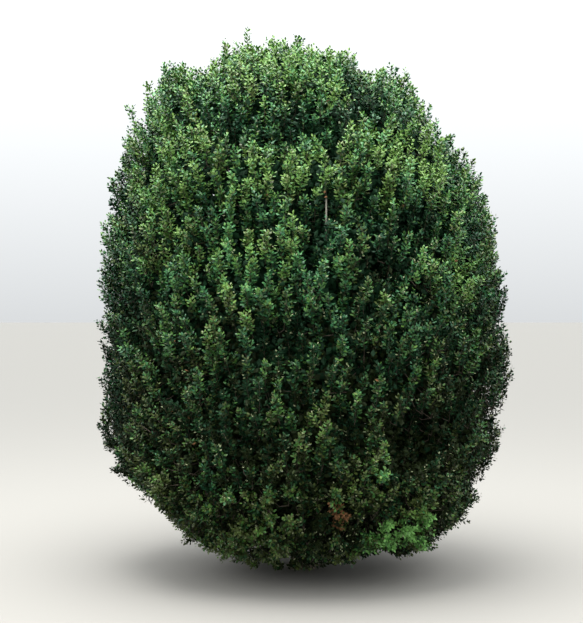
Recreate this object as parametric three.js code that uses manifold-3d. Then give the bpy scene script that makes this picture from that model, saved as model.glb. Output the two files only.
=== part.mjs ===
// Japanese holly: a dense, egg-shaped evergreen shrub, rooted in the ground.
// Millimetres, +Z up, the front of the shrub towards -Y. The origin is the middle of the
// trunk's flat cut at ground level.

import * as THREE from "three";
import { mergeVertices } from "three/addons/utils/BufferGeometryUtils.js";
import Module from "manifold-3d";

const wasm = await Module();
wasm.setup();

// Crown: an upright egg, widest below its middle, its shoulders set over to the left and its
// foot to the right
const crownTop = 2690;
const crownFoot = 70;
const crownRadius = 1042;
const widestHeight = 1120;
const topRoundness = 2.5;
const footRoundness = 2.85;
const footShift = 55;
const footShiftEnds = 650;
const middleShift = 12;
const shoulderShift = -80;
const shiftStarts = 1500;
const shiftEnds = 2300;

// Masses of foliage: rings of lobes, each touching the egg at its own height. Angles are in
// degrees from +X towards +Y, and a swell above 1 pushes a lobe out past the plain egg.
const tiers = [
  { name: "top", height: crownTop, firstAngle: 0, swells: [1.0] },
  { name: "shoulder", height: 2290, firstAngle: 180, swells: [1.08, 1.02, 1.02, 1.0, 0.99] },
  { name: "upper", height: 1720, firstAngle: -40, swells: [1.02, 1.0, 1.02, 0.99, 1.01, 0.98] },
  { name: "middle", height: 1120, firstAngle: -64, swells: [1.0, 1.02, 0.98, 1.01, 1.0, 0.99, 1.01] },
  { name: "skirt", height: 440, firstAngle: -60, swells: [1.0, 0.98, 1.03, 1.0, 1.0, 1.01] },
];
const lobeDepth = 400;
const massGap = 18;
const firstSeed = 101;
const sprayDepth = 125;
const cellRounding = 8;
const hollowRadius = 240;
const topMassFloor = 2085;
const coreDetail = 2;
const coreDent = 0.06;
const heightStagger = 34;

// Trunk: a flared foot, a slight lean and an even taper to its tip under the top mass
const trunkTip = new THREE.Vector3(shoulderShift, 0, 2020);
const flareRadius = 78;
const flareHeight = 42;
const trunkBend = new THREE.Vector2(10, -12);
const trunkRootRadius = 46;
const trunkTipRadius = 13;
const trunkSides = 12;
const trunkSteps = 10;

// Boughs: one tapering limb to each mass, steep where it leaves the trunk
const boughRise = 330;
const boughStagger = 30;
const entrySlope = 0.32;
const boughSides = 6;
const boughSteps = 3;
const boughRootShare = 0.36;
const boughTipShare = 0.6;
const boughTipInset = 25;
const boughBendShare = 0.62;
const clearance = 0.3;
const stemTipRadius = 3;

// Twigs and leaves: every leaf stands for a small spray, so it is larger than life
const twigCount = 30;
const twigRootRadius = 30;
const twigLift = 0.3;
const leafSpots = [
  { along: 0.82, turn: 0, spread: 1.5, length: 170 },
  { along: 0.88, turn: 2.3, spread: 1.2, length: 160 },
  { along: 0.95, turn: 4.4, spread: 0.5, length: 150 },
];
const leafShare = 0.55;
const leafThickness = 7;
const shortestLeaf = 80;
const leafShrink = 0.88;
const twigShare = 0.93;
const rimShare = 0.72;
const edgeClearance = 2;
const weldDistance = 1e-3;
const weldDistances = [weldDistance, 4e-3];
const reachPasses = 40;
const shortestEdge = 0.05;

const bark = { color: 0x6d6156, roughness: 0.88, metalness: 0 };
const foliageColours = {
  top: 0x4d7446,
  shoulder: 0x446b3e,
  upper: 0x3c6138,
  middle: 0x345631,
  skirt: 0x2d4d2b,
};

const up = new THREE.Vector3(0, 0, 1);
const plant = new THREE.Group();

// A repeatable stream of numbers from 0 to 1
function seededRandom(seed) {
  let state = seed;
  return () => {
    state = (state + 0x6d2b79f5) | 0;
    let mixed = Math.imul(state ^ (state >>> 15), 1 | state);
    mixed = (mixed + Math.imul(mixed ^ (mixed >>> 7), 61 | mixed)) ^ mixed;
    return ((mixed ^ (mixed >>> 14)) >>> 0) / 4294967296;
  };
}

function solidOf(geometry) {
  const bare = new THREE.BufferGeometry();
  bare.setAttribute("position", geometry.getAttribute("position"));
  bare.setIndex(geometry.getIndex());
  const closed = mergeVertices(bare, weldDistance);
  return new wasm.Manifold(
    new wasm.Mesh({
      numProp: 3,
      vertProperties: new Float32Array(closed.getAttribute("position").array),
      triVerts: new Uint32Array(closed.getIndex().array),
    }),
  );
}

function geometryOf(solid) {
  const mesh = solid.getMesh();
  const geometry = new THREE.BufferGeometry();
  geometry.setAttribute("position", new THREE.BufferAttribute(mesh.vertProperties, 3));
  geometry.setIndex(new THREE.BufferAttribute(mesh.triVerts, 1));
  geometry.computeVertexNormals();
  return geometry;
}

// The biggest body alone: this fills sealed hollows and drops loose scraps
function largestBody(solid) {
  const bodies = solid.simplify(shortestEdge).decompose();
  return bodies.reduce((best, body) => (body.volume() > best.volume() ? body : best));
}

// Whether a solid stays one closed surface, each edge shared by two faces, once it is welded
function weldsClosed(solid, distance) {
  const bare = geometryOf(solid).deleteAttribute("normal");
  const corners = mergeVertices(bare, distance).getIndex().array;
  const edges = new Set();
  for (let start = 0; start < corners.length; start += 3) {
    for (let corner = 0; corner < 3; corner += 1) {
      const from = corners[start + corner];
      const to = corners[start + ((corner + 1) % 3)];
      if (from === to || edges.has(`${from} ${to}`)) {
        return false;
      }
      edges.add(`${from} ${to}`);
    }
  }
  return [...edges].every((edge) => edges.has(edge.split(" ").reverse().join(" ")));
}

function addNode(name, solid, finish) {
  const mesh = new THREE.Mesh(geometryOf(solid), new THREE.MeshStandardMaterial(finish));
  mesh.name = name;
  plant.add(mesh);
}

// The middle of the crown at a height
function crownAxis(height) {
  const rising = THREE.MathUtils.smoothstep(height, shiftStarts, shiftEnds);
  const falling = 1 - THREE.MathUtils.smoothstep(height, crownFoot, footShiftEnds);
  const upper = THREE.MathUtils.lerp(middleShift, shoulderShift, rising);
  return new THREE.Vector3(THREE.MathUtils.lerp(upper, footShift, falling), 0, height);
}

// Below 1 inside the egg, 1 on its outline
function crownLevel(point) {
  const rise = point.z - widestHeight;
  const span = rise > 0 ? crownTop - widestHeight : widestHeight - crownFoot;
  const power = rise > 0 ? topRoundness : footRoundness;
  const reach = Math.hypot(point.x - crownAxis(point.z).x, point.y);
  return (reach / crownRadius) ** power + (Math.abs(rise) / span) ** power;
}

// How far a ray runs from inside the egg to its outline
function crownReach(start, direction) {
  let near = 0;
  let far = 2 * crownTop;
  for (let pass = 0; pass < reachPasses; pass += 1) {
    const middle = (near + far) / 2;
    const inside = crownLevel(start.clone().addScaledVector(direction, middle)) < 1;
    near = inside ? middle : near;
    far = inside ? far : middle;
  }
  return near;
}

function outward(angle) {
  return new THREE.Vector3(Math.cos(angle), Math.sin(angle), 0);
}

// Each lobe touches the egg at its tier's height, and its centre lies one lobe depth inside
function massAt(tier, index) {
  const angle = THREE.MathUtils.degToRad(tier.firstAngle) + (index * 2 * Math.PI) / tier.swells.length;
  const side = outward(angle);
  const isTop = tier.swells.length === 1;
  const ring = tier.swells.length;
  const stagger = (((index * 2) % ring) - (ring - 1) / 2) * heightStagger;
  const axis = crownAxis(tier.height + stagger);
  const touch = isTop ? axis : axis.clone().addScaledVector(side, crownReach(axis, side));
  const rise = touch.z - widestHeight;
  const span = rise > 0 ? crownTop - widestHeight : widestHeight - crownFoot;
  const power = rise > 0 ? topRoundness : footRoundness;
  const flat = isTop ? 0 : (touch.clone().sub(axis).length() / crownRadius) ** (power - 1) / crownRadius;
  const steep = (Math.sign(rise) * (Math.abs(rise) / span) ** (power - 1)) / span;
  const normal = side.clone().multiplyScalar(flat).addScaledVector(up, steep).normalize();
  const centre = touch.clone().addScaledVector(normal, -lobeDepth);
  return {
    name: isTop ? tier.name : `${tier.name}_${index + 1}`,
    tier: tier.name,
    side,
    isTop,
    centre,
    index,
    ring: tier.swells.length,
    swell: tier.swells[index],
  };
}

const masses = tiers.flatMap((tier) => tier.swells.map((_, index) => massAt(tier, index)));

// The flat limits of a mass's own space: halfway to each neighbour, and clear of the trunk
for (const mass of masses) {
  mass.limits = masses
    .filter((other) => other !== mass)
    .map((other) => {
      const towards = other.centre.clone().sub(mass.centre);
      const distance = towards.length() / 2 - massGap / 2;
      return { facing: towards.normalize(), distance };
    });
  const axis = crownAxis(mass.centre.z);
  const inwards = mass.isTop ? up.clone().negate() : mass.side.clone().negate();
  const inset = mass.isTop
    ? mass.centre.z - topMassFloor
    : mass.centre.clone().sub(axis).dot(mass.side) - hollowRadius;
  mass.limits.push({ facing: inwards, distance: inset });
}

// The size of a mass's space along a direction from its centre: the egg and the flat limits,
// blended so that the space has round edges
function spaceReach(mass, direction) {
  let sum = (1 / (crownReach(mass.centre, direction) * mass.swell)) ** cellRounding;
  for (const limit of mass.limits) {
    const facing = direction.dot(limit.facing);
    if (facing > 0) {
      sum += (facing / limit.distance) ** cellRounding;
    }
  }
  return sum ** (-1 / cellRounding);
}

function insideSpace(mass, point) {
  const offset = point.clone().sub(mass.centre);
  const distance = offset.length();
  return point.z > crownFoot && distance < spaceReach(mass, offset.normalize()) - edgeClearance;
}

function coreOf(mass, random) {
  const ball = mergeVertices(
    new THREE.IcosahedronGeometry(1, coreDetail).deleteAttribute("normal").deleteAttribute("uv"),
    weldDistance,
  );
  const corners = ball.getAttribute("position");
  const direction = new THREE.Vector3();
  for (let corner = 0; corner < corners.count; corner += 1) {
    direction.fromBufferAttribute(corners, corner).normalize();
    const dent = 1 - coreDent * random();
    const outer = crownReach(mass.centre, direction) * mass.swell - sprayDepth;
    const reach = Math.min(spaceReach(mass, direction), outer) * dent;
    const place = mass.centre.clone().addScaledVector(direction, reach);
    corners.setXYZ(corner, place.x, place.y, place.z);
  }
  return solidOf(ball);
}

// A straight tapering stick from one point to another; a tip radius of 0 makes it pointed
function stick(start, end, rootRadius, tipRadius, sides) {
  const length = start.distanceTo(end);
  const geometry = new THREE.CylinderGeometry(tipRadius, rootRadius, length, sides, 1);
  geometry.translate(0, length / 2, 0);
  const turn = new THREE.Quaternion().setFromUnitVectors(
    new THREE.Vector3(0, 1, 0),
    end.clone().sub(start).normalize(),
  );
  geometry.applyQuaternion(turn);
  geometry.translate(start.x, start.y, start.z);
  return solidOf(geometry);
}

// A leaf of eight faces: a flattened octahedron with its root at the start
function leafAt(root, direction, face, length) {
  const side = new THREE.Vector3().crossVectors(direction, face).normalize();
  const thick = new THREE.Vector3().crossVectors(direction, side).normalize();
  const frame = new THREE.Matrix4().makeBasis(direction, side, thick).setPosition(root);
  const geometry = new THREE.OctahedronGeometry(0.5);
  geometry.translate(0.5, 0, 0);
  geometry.scale(length, length * leafShare, leafThickness);
  geometry.applyMatrix4(frame);
  return geometry;
}

function fitsSpace(mass, geometry) {
  const corners = geometry.getAttribute("position");
  const point = new THREE.Vector3();
  for (let corner = 0; corner < corners.count; corner += 1) {
    point.fromBufferAttribute(corners, corner);
    if (!insideSpace(mass, point)) {
      return false;
    }
  }
  return true;
}

// The longest leaf that keeps to the mass's space, or nothing
function fittedLeaf(mass, root, direction, face, length) {
  for (let size = length; size > shortestLeaf; size *= leafShrink) {
    const geometry = leafAt(root, direction, face, size);
    if (fitsSpace(mass, geometry)) {
      return geometry;
    }
  }
  return null;
}

// Directions spread evenly over a ball, by the golden angle
function evenDirections(count) {
  const golden = Math.PI * (3 - Math.sqrt(5));
  return Array.from({ length: count }, (_, step) => {
    const height = 1 - (2 * (step + 0.5)) / count;
    const ring = Math.sqrt(1 - height * height);
    return new THREE.Vector3(ring * Math.cos(golden * step), ring * Math.sin(golden * step), height);
  });
}

// Twigs branch from the end of the mass's stem, pass through the core and carry the leaves.
// Each is given back as one list of a twig and its leaves.
function twigsOf(mass, random) {
  const twigs = [];
  for (const even of evenDirections(twigCount)) {
    const direction = even.clone().addScaledVector(up, twigLift * random()).normalize();
    const reach = spaceReach(mass, direction);
    if (reach < rimShare * crownReach(mass.centre, direction) * mass.swell) {
      continue;
    }
    const twigReach = reach * twigShare;
    const tip = mass.centre.clone().addScaledVector(direction, twigReach);
    const leaves = [];
    const side = new THREE.Vector3().crossVectors(direction, up).normalize();
    const lift = new THREE.Vector3().crossVectors(side, direction).normalize();
    const spin = random() * 2 * Math.PI;
    for (const spot of leafSpots) {
      const angle = spin + spot.turn;
      const across = side.clone().multiplyScalar(Math.cos(angle)).addScaledVector(lift, Math.sin(angle));
      const heading = direction.clone().addScaledVector(across, spot.spread);
      heading.addScaledVector(up, twigLift).normalize();
      const root = mass.centre.clone().addScaledVector(direction, twigReach * spot.along);
      const leaf = fittedLeaf(mass, root, heading, direction.clone().add(up), spot.length);
      if (leaf) {
        leaves.push(solidOf(leaf));
      }
    }
    if (leaves.length > 0) {
      twigs.push([stick(mass.centre, tip, twigRootRadius, 0, 3), ...leaves]);
    }
  }
  return twigs;
}

// The trunk's middle line: a straight lean with one slow bend
const trunkLine = new THREE.QuadraticBezierCurve3(
  new THREE.Vector3(0, 0, 0),
  new THREE.Vector3(trunkBend.x, trunkBend.y, trunkTip.z / 2),
  trunkTip,
);

function trunkRadius(height) {
  const taper = THREE.MathUtils.lerp(trunkRootRadius, trunkTipRadius, height / trunkTip.z);
  const flare = (flareRadius - trunkRootRadius) * Math.exp(-height / flareHeight);
  return taper + flare;
}

// The trunk is a lathe slid sideways along its middle line, so that its foot stays a flat cut.
// A positive growth gives the wider shape that the boughs' feet are cut to.
function trunkSolid(growth) {
  const profile = [new THREE.Vector2(0, 0)];
  for (let step = 0; step <= trunkSteps; step += 1) {
    const height = trunkTip.z * (step / trunkSteps) ** 2;
    profile.push(new THREE.Vector2(trunkRadius(height) + growth, height));
  }
  profile.push(new THREE.Vector2(0, trunkTip.z));
  const geometry = new THREE.LatheGeometry(profile, trunkSides).rotateX(Math.PI / 2);
  const corners = geometry.getAttribute("position");
  for (let corner = 0; corner < corners.count; corner += 1) {
    const height = corners.getZ(corner);
    const middle = trunkLine.getPoint(THREE.MathUtils.clamp(height / trunkTip.z, 0, 1));
    corners.setX(corner, corners.getX(corner) + middle.x);
    corners.setY(corner, corners.getY(corner) + middle.y);
  }
  return solidOf(geometry);
}

// A tapering limb along a curve: a cone whose rings are set square to the curve
function limb(curve, rootRadius, tipRadius) {
  const geometry = new THREE.CylinderGeometry(tipRadius, rootRadius, 1, boughSides, boughSteps);
  const corners = geometry.getAttribute("position");
  for (let corner = 0; corner < corners.count; corner += 1) {
    const share = THREE.MathUtils.clamp(corners.getY(corner) + 0.5, 0, 1);
    const tangent = curve.getTangent(share);
    const side = new THREE.Vector3().crossVectors(tangent, up).normalize();
    const lift = new THREE.Vector3().crossVectors(side, tangent);
    const place = curve.getPoint(share);
    place.addScaledVector(side, corners.getX(corner));
    place.addScaledVector(lift, corners.getZ(corner));
    corners.setXYZ(corner, place.x, place.y, place.z);
  }
  return solidOf(geometry);
}

// A bough leaves the trunk below its mass, climbs the hollow and ends at the mass's stem
function boughRoute(mass) {
  const tipRadial = hollowRadius - boughTipInset;
  const axis = crownAxis(mass.centre.z);
  const run = mass.centre.clone().sub(axis).dot(mass.side) - tipRadial;
  const tip = mass.centre.clone().addScaledVector(mass.side, -run);
  tip.z -= run * entrySlope;
  const heading = mass.centre.clone().sub(tip).normalize();
  const rootHeight = tip.z - boughRise + ((mass.index * 2) % mass.ring) * boughStagger;
  const root = trunkLine.getPoint(rootHeight / trunkTip.z);
  const bend = tip.clone().addScaledVector(heading, -tipRadial * boughBendShare);
  return { curve: new THREE.QuadraticBezierCurve3(root, bend, tip), tip, heading, rootHeight };
}

// The core with its twigs fused on. A twig whose union has flaws at an edge is left out.
function fusedMass(core, twigs) {
  return twigs.reduce((whole, pieces) => {
    const grown = largestBody(pieces.reduce((sum, piece) => sum.add(piece), whole));
    return weldDistances.every((distance) => weldsClosed(grown, distance)) ? grown : whole;
  }, core);
}

function buildPlant() {
  const trunk = trunkSolid(0);
  const trunkClear = trunkSolid(clearance);
  addNode("trunk", trunk, bark);
  masses.forEach((mass, number) => {
    const random = seededRandom(firstSeed + number);
    let stemStart = new THREE.Vector3(trunkTip.x, trunkTip.y, trunkTip.z + clearance);
    let stemRadius = trunkTipRadius;
    if (!mass.isTop) {
      const route = boughRoute(mass);
      const rootRadius = trunkRadius(route.rootHeight) * boughRootShare;
      stemRadius = rootRadius * boughTipShare;
      const bough = limb(route.curve, rootRadius, stemRadius).subtract(trunkClear);
      addNode(`bough_${mass.name}`, largestBody(bough), bark);
      stemStart = route.tip.clone().addScaledVector(route.heading, clearance);
    }
    const stem = stick(stemStart, mass.centre, stemRadius, stemTipRadius, boughSides);
    const core = coreOf(mass, random).add(stem);
    const finish = { color: foliageColours[mass.tier], roughness: 0.6, metalness: 0 };
    addNode(`foliage_${mass.name}`, fusedMass(core, twigsOf(mass, random)), finish);
  });
}

buildPlant();

export default plant;
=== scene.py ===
# %% [markdown]
# A Japanese holly grown as a dense, egg-shaped shrub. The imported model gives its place, its
# size and its solids: a trunk, a bough to each mass of foliage, and the masses themselves.
# Here every solid is replaced by what the eye sees on the living plant: bark, twigs, shoots
# and small leaves. The shrub grows by one rule, so its numbers are written once at the top of
# each step and the same rule makes all of its sides. Lengths are in metres, +Z is up and the
# front faces -Y.

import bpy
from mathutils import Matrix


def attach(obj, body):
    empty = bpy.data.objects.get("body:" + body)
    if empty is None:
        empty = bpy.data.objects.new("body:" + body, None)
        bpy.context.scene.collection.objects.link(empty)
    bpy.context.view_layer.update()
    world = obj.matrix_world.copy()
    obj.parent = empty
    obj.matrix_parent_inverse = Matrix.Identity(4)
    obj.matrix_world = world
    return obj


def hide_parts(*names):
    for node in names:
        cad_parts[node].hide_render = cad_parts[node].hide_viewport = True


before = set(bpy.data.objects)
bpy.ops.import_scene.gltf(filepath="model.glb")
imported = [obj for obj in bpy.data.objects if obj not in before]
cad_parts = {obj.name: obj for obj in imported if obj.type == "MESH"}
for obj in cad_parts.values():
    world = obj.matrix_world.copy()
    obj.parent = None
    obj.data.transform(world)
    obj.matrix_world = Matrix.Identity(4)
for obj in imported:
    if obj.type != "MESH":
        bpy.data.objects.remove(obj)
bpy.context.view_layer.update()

# %% [markdown]
# Blender's own modules build the meshes. The growth itself is worked out with numpy, because a
# shrub has far too many leaves to turn and place one by one. One seeded stream of random
# numbers serves each step, so the same shrub grows on every run.

# %% Modules and small helpers
import math

import bpy
import numpy as np
from mathutils import Vector, noise

UP = np.array([0.0, 0.0, 1.0])
FRONT = np.array([0.0, -1.0, 0.0])
GOLDEN_ANGLE = math.pi * (3 - math.sqrt(5))


def unit(vectors):
    """Each row scaled to a length of one."""
    return vectors / np.linalg.norm(vectors, axis=-1, keepdims=True)


def blend(start, end, share):
    """A value on the way from start to end."""
    return start + (end - start) * share


def smooth_step(value, start, end):
    """0 before start, 1 after end, with an even turn between."""
    share = np.clip((value - start) / (end - start), 0, 1)
    return share * share * (3 - 2 * share)


def even_directions(count):
    """Directions spread evenly over a ball, by the golden angle."""
    step = np.arange(count)
    height = 1 - 2 * (step + 0.5) / count
    ring = np.sqrt(1 - height**2)
    return np.stack([ring * np.cos(GOLDEN_ANGLE * step), ring * np.sin(GOLDEN_ANGLE * step), height], axis=1)


print("helpers ready")

# %% [markdown]
# The crown of this shrub is an upright egg, widest below its middle. Its shoulders are set over
# to the left and its foot to the right. A formula describes it better than a sculpted shell:
# the level is below 1 inside the egg and 1 on its outline, so any ray can be cut off exactly
# where the foliage ends.

# %% The egg of the crown
CROWN_TOP = 2.690
CROWN_FOOT = 0.070
CROWN_RADIUS = 1.042
WIDEST_HEIGHT = 1.120
TOP_ROUNDNESS = 2.5
FOOT_ROUNDNESS = 2.85
FOOT_SHIFT = 0.055
FOOT_SHIFT_ENDS = 0.650
MIDDLE_SHIFT = 0.012
SHOULDER_SHIFT = -0.080
SHIFT_STARTS = 1.500
SHIFT_ENDS = 2.300
REACH_PASSES = 32
SLOPE_STEP = 1e-4


def crown_axis(height):
    """How far the middle of the crown is set over at a height."""
    upper = blend(MIDDLE_SHIFT, SHOULDER_SHIFT, smooth_step(height, SHIFT_STARTS, SHIFT_ENDS))
    falling = 1 - smooth_step(height, CROWN_FOOT, FOOT_SHIFT_ENDS)
    return blend(upper, FOOT_SHIFT, falling)


def crown_level(points):
    """Below 1 inside the egg, 1 on its outline."""
    rise = points[..., 2] - WIDEST_HEIGHT
    above = rise > 0
    span = np.where(above, CROWN_TOP - WIDEST_HEIGHT, WIDEST_HEIGHT - CROWN_FOOT)
    power = np.where(above, TOP_ROUNDNESS, FOOT_ROUNDNESS)
    reach = np.hypot(points[..., 0] - crown_axis(points[..., 2]), points[..., 1])
    return (reach / CROWN_RADIUS) ** power + (np.abs(rise) / span) ** power


def crown_reach(start, directions):
    """How far each ray runs from inside the egg to its outline."""
    near = np.zeros(len(directions))
    far = np.full(len(directions), 2 * CROWN_TOP)
    for _ in range(REACH_PASSES):
        middle = (near + far) / 2
        inside = crown_level(start + directions * middle[:, None]) < 1
        near = np.where(inside, middle, near)
        far = np.where(inside, far, middle)
    return near


def crown_normal(points):
    """The outward direction of the egg at each point."""
    steps = SLOPE_STEP * np.eye(3)
    slopes = [crown_level(points + step) - crown_level(points - step) for step in steps]
    return unit(np.stack(slopes, axis=-1))


widest_middle = np.array([MIDDLE_SHIFT, 0.0, WIDEST_HEIGHT])
print("crown radius at the widest height:", crown_reach(widest_middle, FRONT[None])[0])

# %% [markdown]
# The foliage of a free-growing holly is not one skin but a set of rounded masses, each carried
# by its own bough. Rings of masses touch the egg at five heights. Each one has its own space,
# bounded by the egg, by a flat limit halfway to each neighbour, and by the hollow round the
# trunk. The rule is the one the solids follow, so the twigs grow inside the solids' reach.

# %% The masses of foliage and their spaces
TIERS = [
    ("top", CROWN_TOP, 0, [1.0]),
    ("shoulder", 2.290, 180, [1.08, 1.02, 1.02, 1.0, 0.99]),
    ("upper", 1.720, -40, [1.02, 1.0, 1.02, 0.99, 1.01, 0.98]),
    ("middle", 1.120, -64, [1.0, 1.02, 0.98, 1.01, 1.0, 0.99, 1.01]),
    ("skirt", 0.440, -60, [1.0, 0.98, 1.03, 1.0, 1.0, 1.01]),
]
LOBE_DEPTH = 0.400
MASS_GAP = 0.018
CELL_ROUNDING = 8
HOLLOW_RADIUS = 0.240
TOP_MASS_FLOOR = 2.085
HEIGHT_STAGGER = 0.034


def mass_at(tier, height, first_angle, swells, index):
    """One mass: it touches the egg at its tier's height, with its centre a lobe's depth inside."""
    ring = len(swells)
    angle = math.radians(first_angle) + index * 2 * math.pi / ring
    side = np.array([math.cos(angle), math.sin(angle), 0.0])
    stagger = (((index * 2) % ring) - (ring - 1) / 2) * HEIGHT_STAGGER
    axis = np.array([crown_axis(height + stagger), 0.0, height + stagger])
    if ring == 1:
        touch, normal = axis, UP
    else:
        touch = axis + side * crown_reach(axis, side[None])[0]
        normal = crown_normal(touch)
        normal = unit(side * np.dot(normal, side) + UP * normal[2])
    name = tier if ring == 1 else f"{tier}_{index + 1}"
    return {"name": name, "tier": tier, "side": side, "index": index, "ring": ring,
            "centre": touch - normal * LOBE_DEPTH, "swell": swells[index]}


masses = [mass_at(tier, height, first_angle, swells, index)
          for tier, height, first_angle, swells in TIERS for index in range(len(swells))]

for mass in masses:
    mass["limits"] = []
    for other in masses:
        if other is not mass:
            towards = other["centre"] - mass["centre"]
            distance = np.linalg.norm(towards)
            mass["limits"].append((towards / distance, distance / 2 - MASS_GAP / 2))
    if mass["ring"] == 1:
        mass["limits"].append((-UP, mass["centre"][2] - TOP_MASS_FLOOR))
    else:
        axis = np.array([crown_axis(mass["centre"][2]), 0.0, mass["centre"][2]])
        inset = np.dot(mass["centre"] - axis, mass["side"]) - HOLLOW_RADIUS
        mass["limits"].append((-mass["side"], inset))


def space_reach(mass, directions):
    """The size of a mass's space along each direction, and the egg's own reach there."""
    free = crown_reach(mass["centre"], directions) * mass["swell"]
    total = (1 / free) ** CELL_ROUNDING
    for facing, distance in mass["limits"]:
        total += (np.maximum(directions @ facing, 0) / distance) ** CELL_ROUNDING
    return total ** (-1 / CELL_ROUNDING), free


print("masses:", len(masses))

# %% [markdown]
# Seen close, the surface is a cover of upright sprays about a hand's width apart, overlapping
# like shingles. Their tips are found by throwing many points on the outer side of each space
# and keeping only those that stand clear of the ones already kept. That gives an even but
# irregular spread, with no rows.

# %% The tips of the sprays
SURFACE_RAYS = 8000
RIM_SHARE = 0.72
SKIN_SHARE = 0.74
SPRAY_SPACING = 0.065
SPACING_CHANGE = (0.78, 1.22)
LOWEST_TIP = 0.078
place_random = np.random.default_rng(11)


def spread(points, spacing, random):
    """The numbers of the points kept, none of them in the room that another one takes."""
    free = np.ones(len(points), bool)
    kept = []
    for number in random.permutation(len(points)):
        if free[number]:
            kept.append(number)
            room = spacing * random.uniform(*SPACING_CHANGE)
            free &= np.linalg.norm(points - points[number], axis=1) > room
    return np.array(kept)


rays = even_directions(SURFACE_RAYS)
found_points = []
found_masses = []
for number, mass in enumerate(masses):
    reach, free_reach = space_reach(mass, rays)
    points = mass["centre"] + rays * blend(reach, free_reach, SKIN_SHARE)[:, None]
    outer = (reach > RIM_SHARE * free_reach) & (points[:, 2] > LOWEST_TIP)
    found_points.append(points[outer])
    found_masses.append(np.full(outer.sum(), number))
found_points = np.concatenate(found_points)
found_masses = np.concatenate(found_masses)

kept = spread(found_points, SPRAY_SPACING, place_random)
tip = found_points[kept]
tip_mass = found_masses[kept]
outward = crown_normal(tip)
print("sprays:", len(tip), "from", len(found_points), "places")

# %% [markdown]
# The surface is far from even. Hollows lie under the dome and between the masses, where the
# sprays stand further in and shade is painted into their leaves, and light is painted into the
# leaves of a few masses. The front's hollows and places of painted light follow this shrub. The
# sides that nobody has seen get as many, at seeded places.

# %% Hollows and places of painted light
# x, z, half width, half height, depth; the depth sets the sprays back and paints
# shade into their leaves
FRONT_HOLLOWS = [
    (-0.12, 2.15, 0.36, 0.15, 0.055),
    (-0.16, 2.10, 0.24, 0.12, 0.11),
    (-0.57, 2.12, 0.14, 0.09, 0.06),
    (0.06, 2.09, 0.15, 0.10, 0.12),
    (-0.51, 2.14, 0.07, 0.07, 0.09),
    (0.36, 2.21, 0.07, 0.09, 0.10),
    (0.26, 2.33, 0.05, 0.08, 0.07),
    (0.05, 2.30, 0.07, 0.06, 0.06),
    (0.03, 1.60, 0.06, 0.18, 0.12),
    (0.00, 1.78, 0.05, 0.10, 0.08),
    (0.10, 1.75, 0.06, 0.07, 0.15),
    (0.29, 1.71, 0.07, 0.12, 0.10),
    (0.41, 1.48, 0.10, 0.10, 0.20),
    (0.57, 1.36, 0.05, 0.08, 0.18),
    (0.56, 1.66, 0.17, 0.11, 0.08),
    (0.40, 1.42, 0.28, 0.26, 0.025),
    (-0.48, 1.77, 0.15, 0.07, 0.05),
    (-0.24, 1.65, 0.08, 0.06, 0.05),
    (-0.80, 1.95, 0.07, 0.14, 0.12),
    (-0.70, 1.41, 0.08, 0.12, 0.06),
    (-0.13, 1.19, 0.13, 0.12, 0.08),
    (-0.50, 1.26, 0.09, 0.08, 0.09),
    (0.29, 1.08, 0.09, 0.08, 0.07),
    (0.55, 0.71, 0.17, 0.17, 0.17),
    (0.64, 0.72, 0.22, 0.22, 0.05),
    (0.04, 1.20, 0.06, 0.09, 0.06),
    (0.00, 0.93, 0.10, 0.07, 0.06),
    (0.71, 0.98, 0.06, 0.08, 0.12),
    (-0.34, 0.97, 0.12, 0.09, 0.10),
    (-0.64, 0.94, 0.08, 0.12, 0.07),
    (-0.54, 0.68, 0.07, 0.11, 0.06),
    (0.19, 0.76, 0.07, 0.13, 0.11),
    (-0.24, 0.70, 0.11, 0.07, 0.04),
    (0.02, 0.57, 0.10, 0.09, 0.08),
    (0.04, 0.35, 0.10, 0.10, 0.06),
    (0.44, 0.60, 0.09, 0.08, 0.12),
    (0.26, 0.25, 0.12, 0.07, 0.11),
]
# x, z, half width, half height, lift: how much light is painted into the leaves there
FRONT_PAINTED_LIGHTS = [
    (0.53, 2.03, 0.25, 0.15, 0.72),
    (0.66, 1.80, 0.10, 0.14, 0.14),
    (-0.62, 1.98, 0.20, 0.10, 0.22),
    (-0.18, 1.90, 0.31, 0.12, 0.36),
    (0.20, 2.28, 0.07, 0.08, 0.26),
    (-0.24, 1.49, 0.25, 0.15, 0.33),
    (0.15, 1.66, 0.06, 0.07, 0.20),
    (-0.55, 1.40, 0.08, 0.12, 0.45),
    (-0.70, 1.50, 0.11, 0.14, 0.40),
    (0.77, 1.45, 0.11, 0.14, 0.75),
    (0.66, 1.30, 0.07, 0.12, 0.24),
    (0.82, 1.17, 0.10, 0.16, 0.34),
    (0.40, 1.80, 0.09, 0.09, 0.24),
    (0.36, 1.36, 0.07, 0.06, 0.18),
    (-0.44, 1.19, 0.07, 0.07, 0.22),
    (0.55, 1.04, 0.08, 0.07, 0.30),
    (0.31, 0.95, 0.08, 0.07, 0.14),
    (0.05, 0.82, 0.06, 0.10, 0.22),
    (0.35, 0.54, 0.10, 0.16, 0.34),
    (-0.18, 0.32, 0.08, 0.07, 0.12),
    (-0.82, 0.92, 0.07, 0.12, 0.24),
    (-0.36, 1.68, 0.09, 0.12, 0.22),
    (0.09, 1.93, 0.07, 0.10, 0.34),
]
# the clump of fresh leaves at the foot is lifted in tone the same way, for its own fresh colour
FRESH_CLUMP = (0.49, 0.29, 0.20, 0.13, 0.66)
HIDDEN_HOLLOWS = 46
HIDDEN_PAINTED_LIGHTS = 34
# least and most half width, half height and strength of the hidden ones
HIDDEN_HOLLOW_SIZES = [(0.06, 0.17), (0.07, 0.16), (0.07, 0.16)]
HIDDEN_PAINTED_LIGHT_SIZES = [(0.07, 0.22), (0.07, 0.14), (0.10, 0.30)]
HIDDEN_HEIGHTS = (0.35, 2.35)
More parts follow.
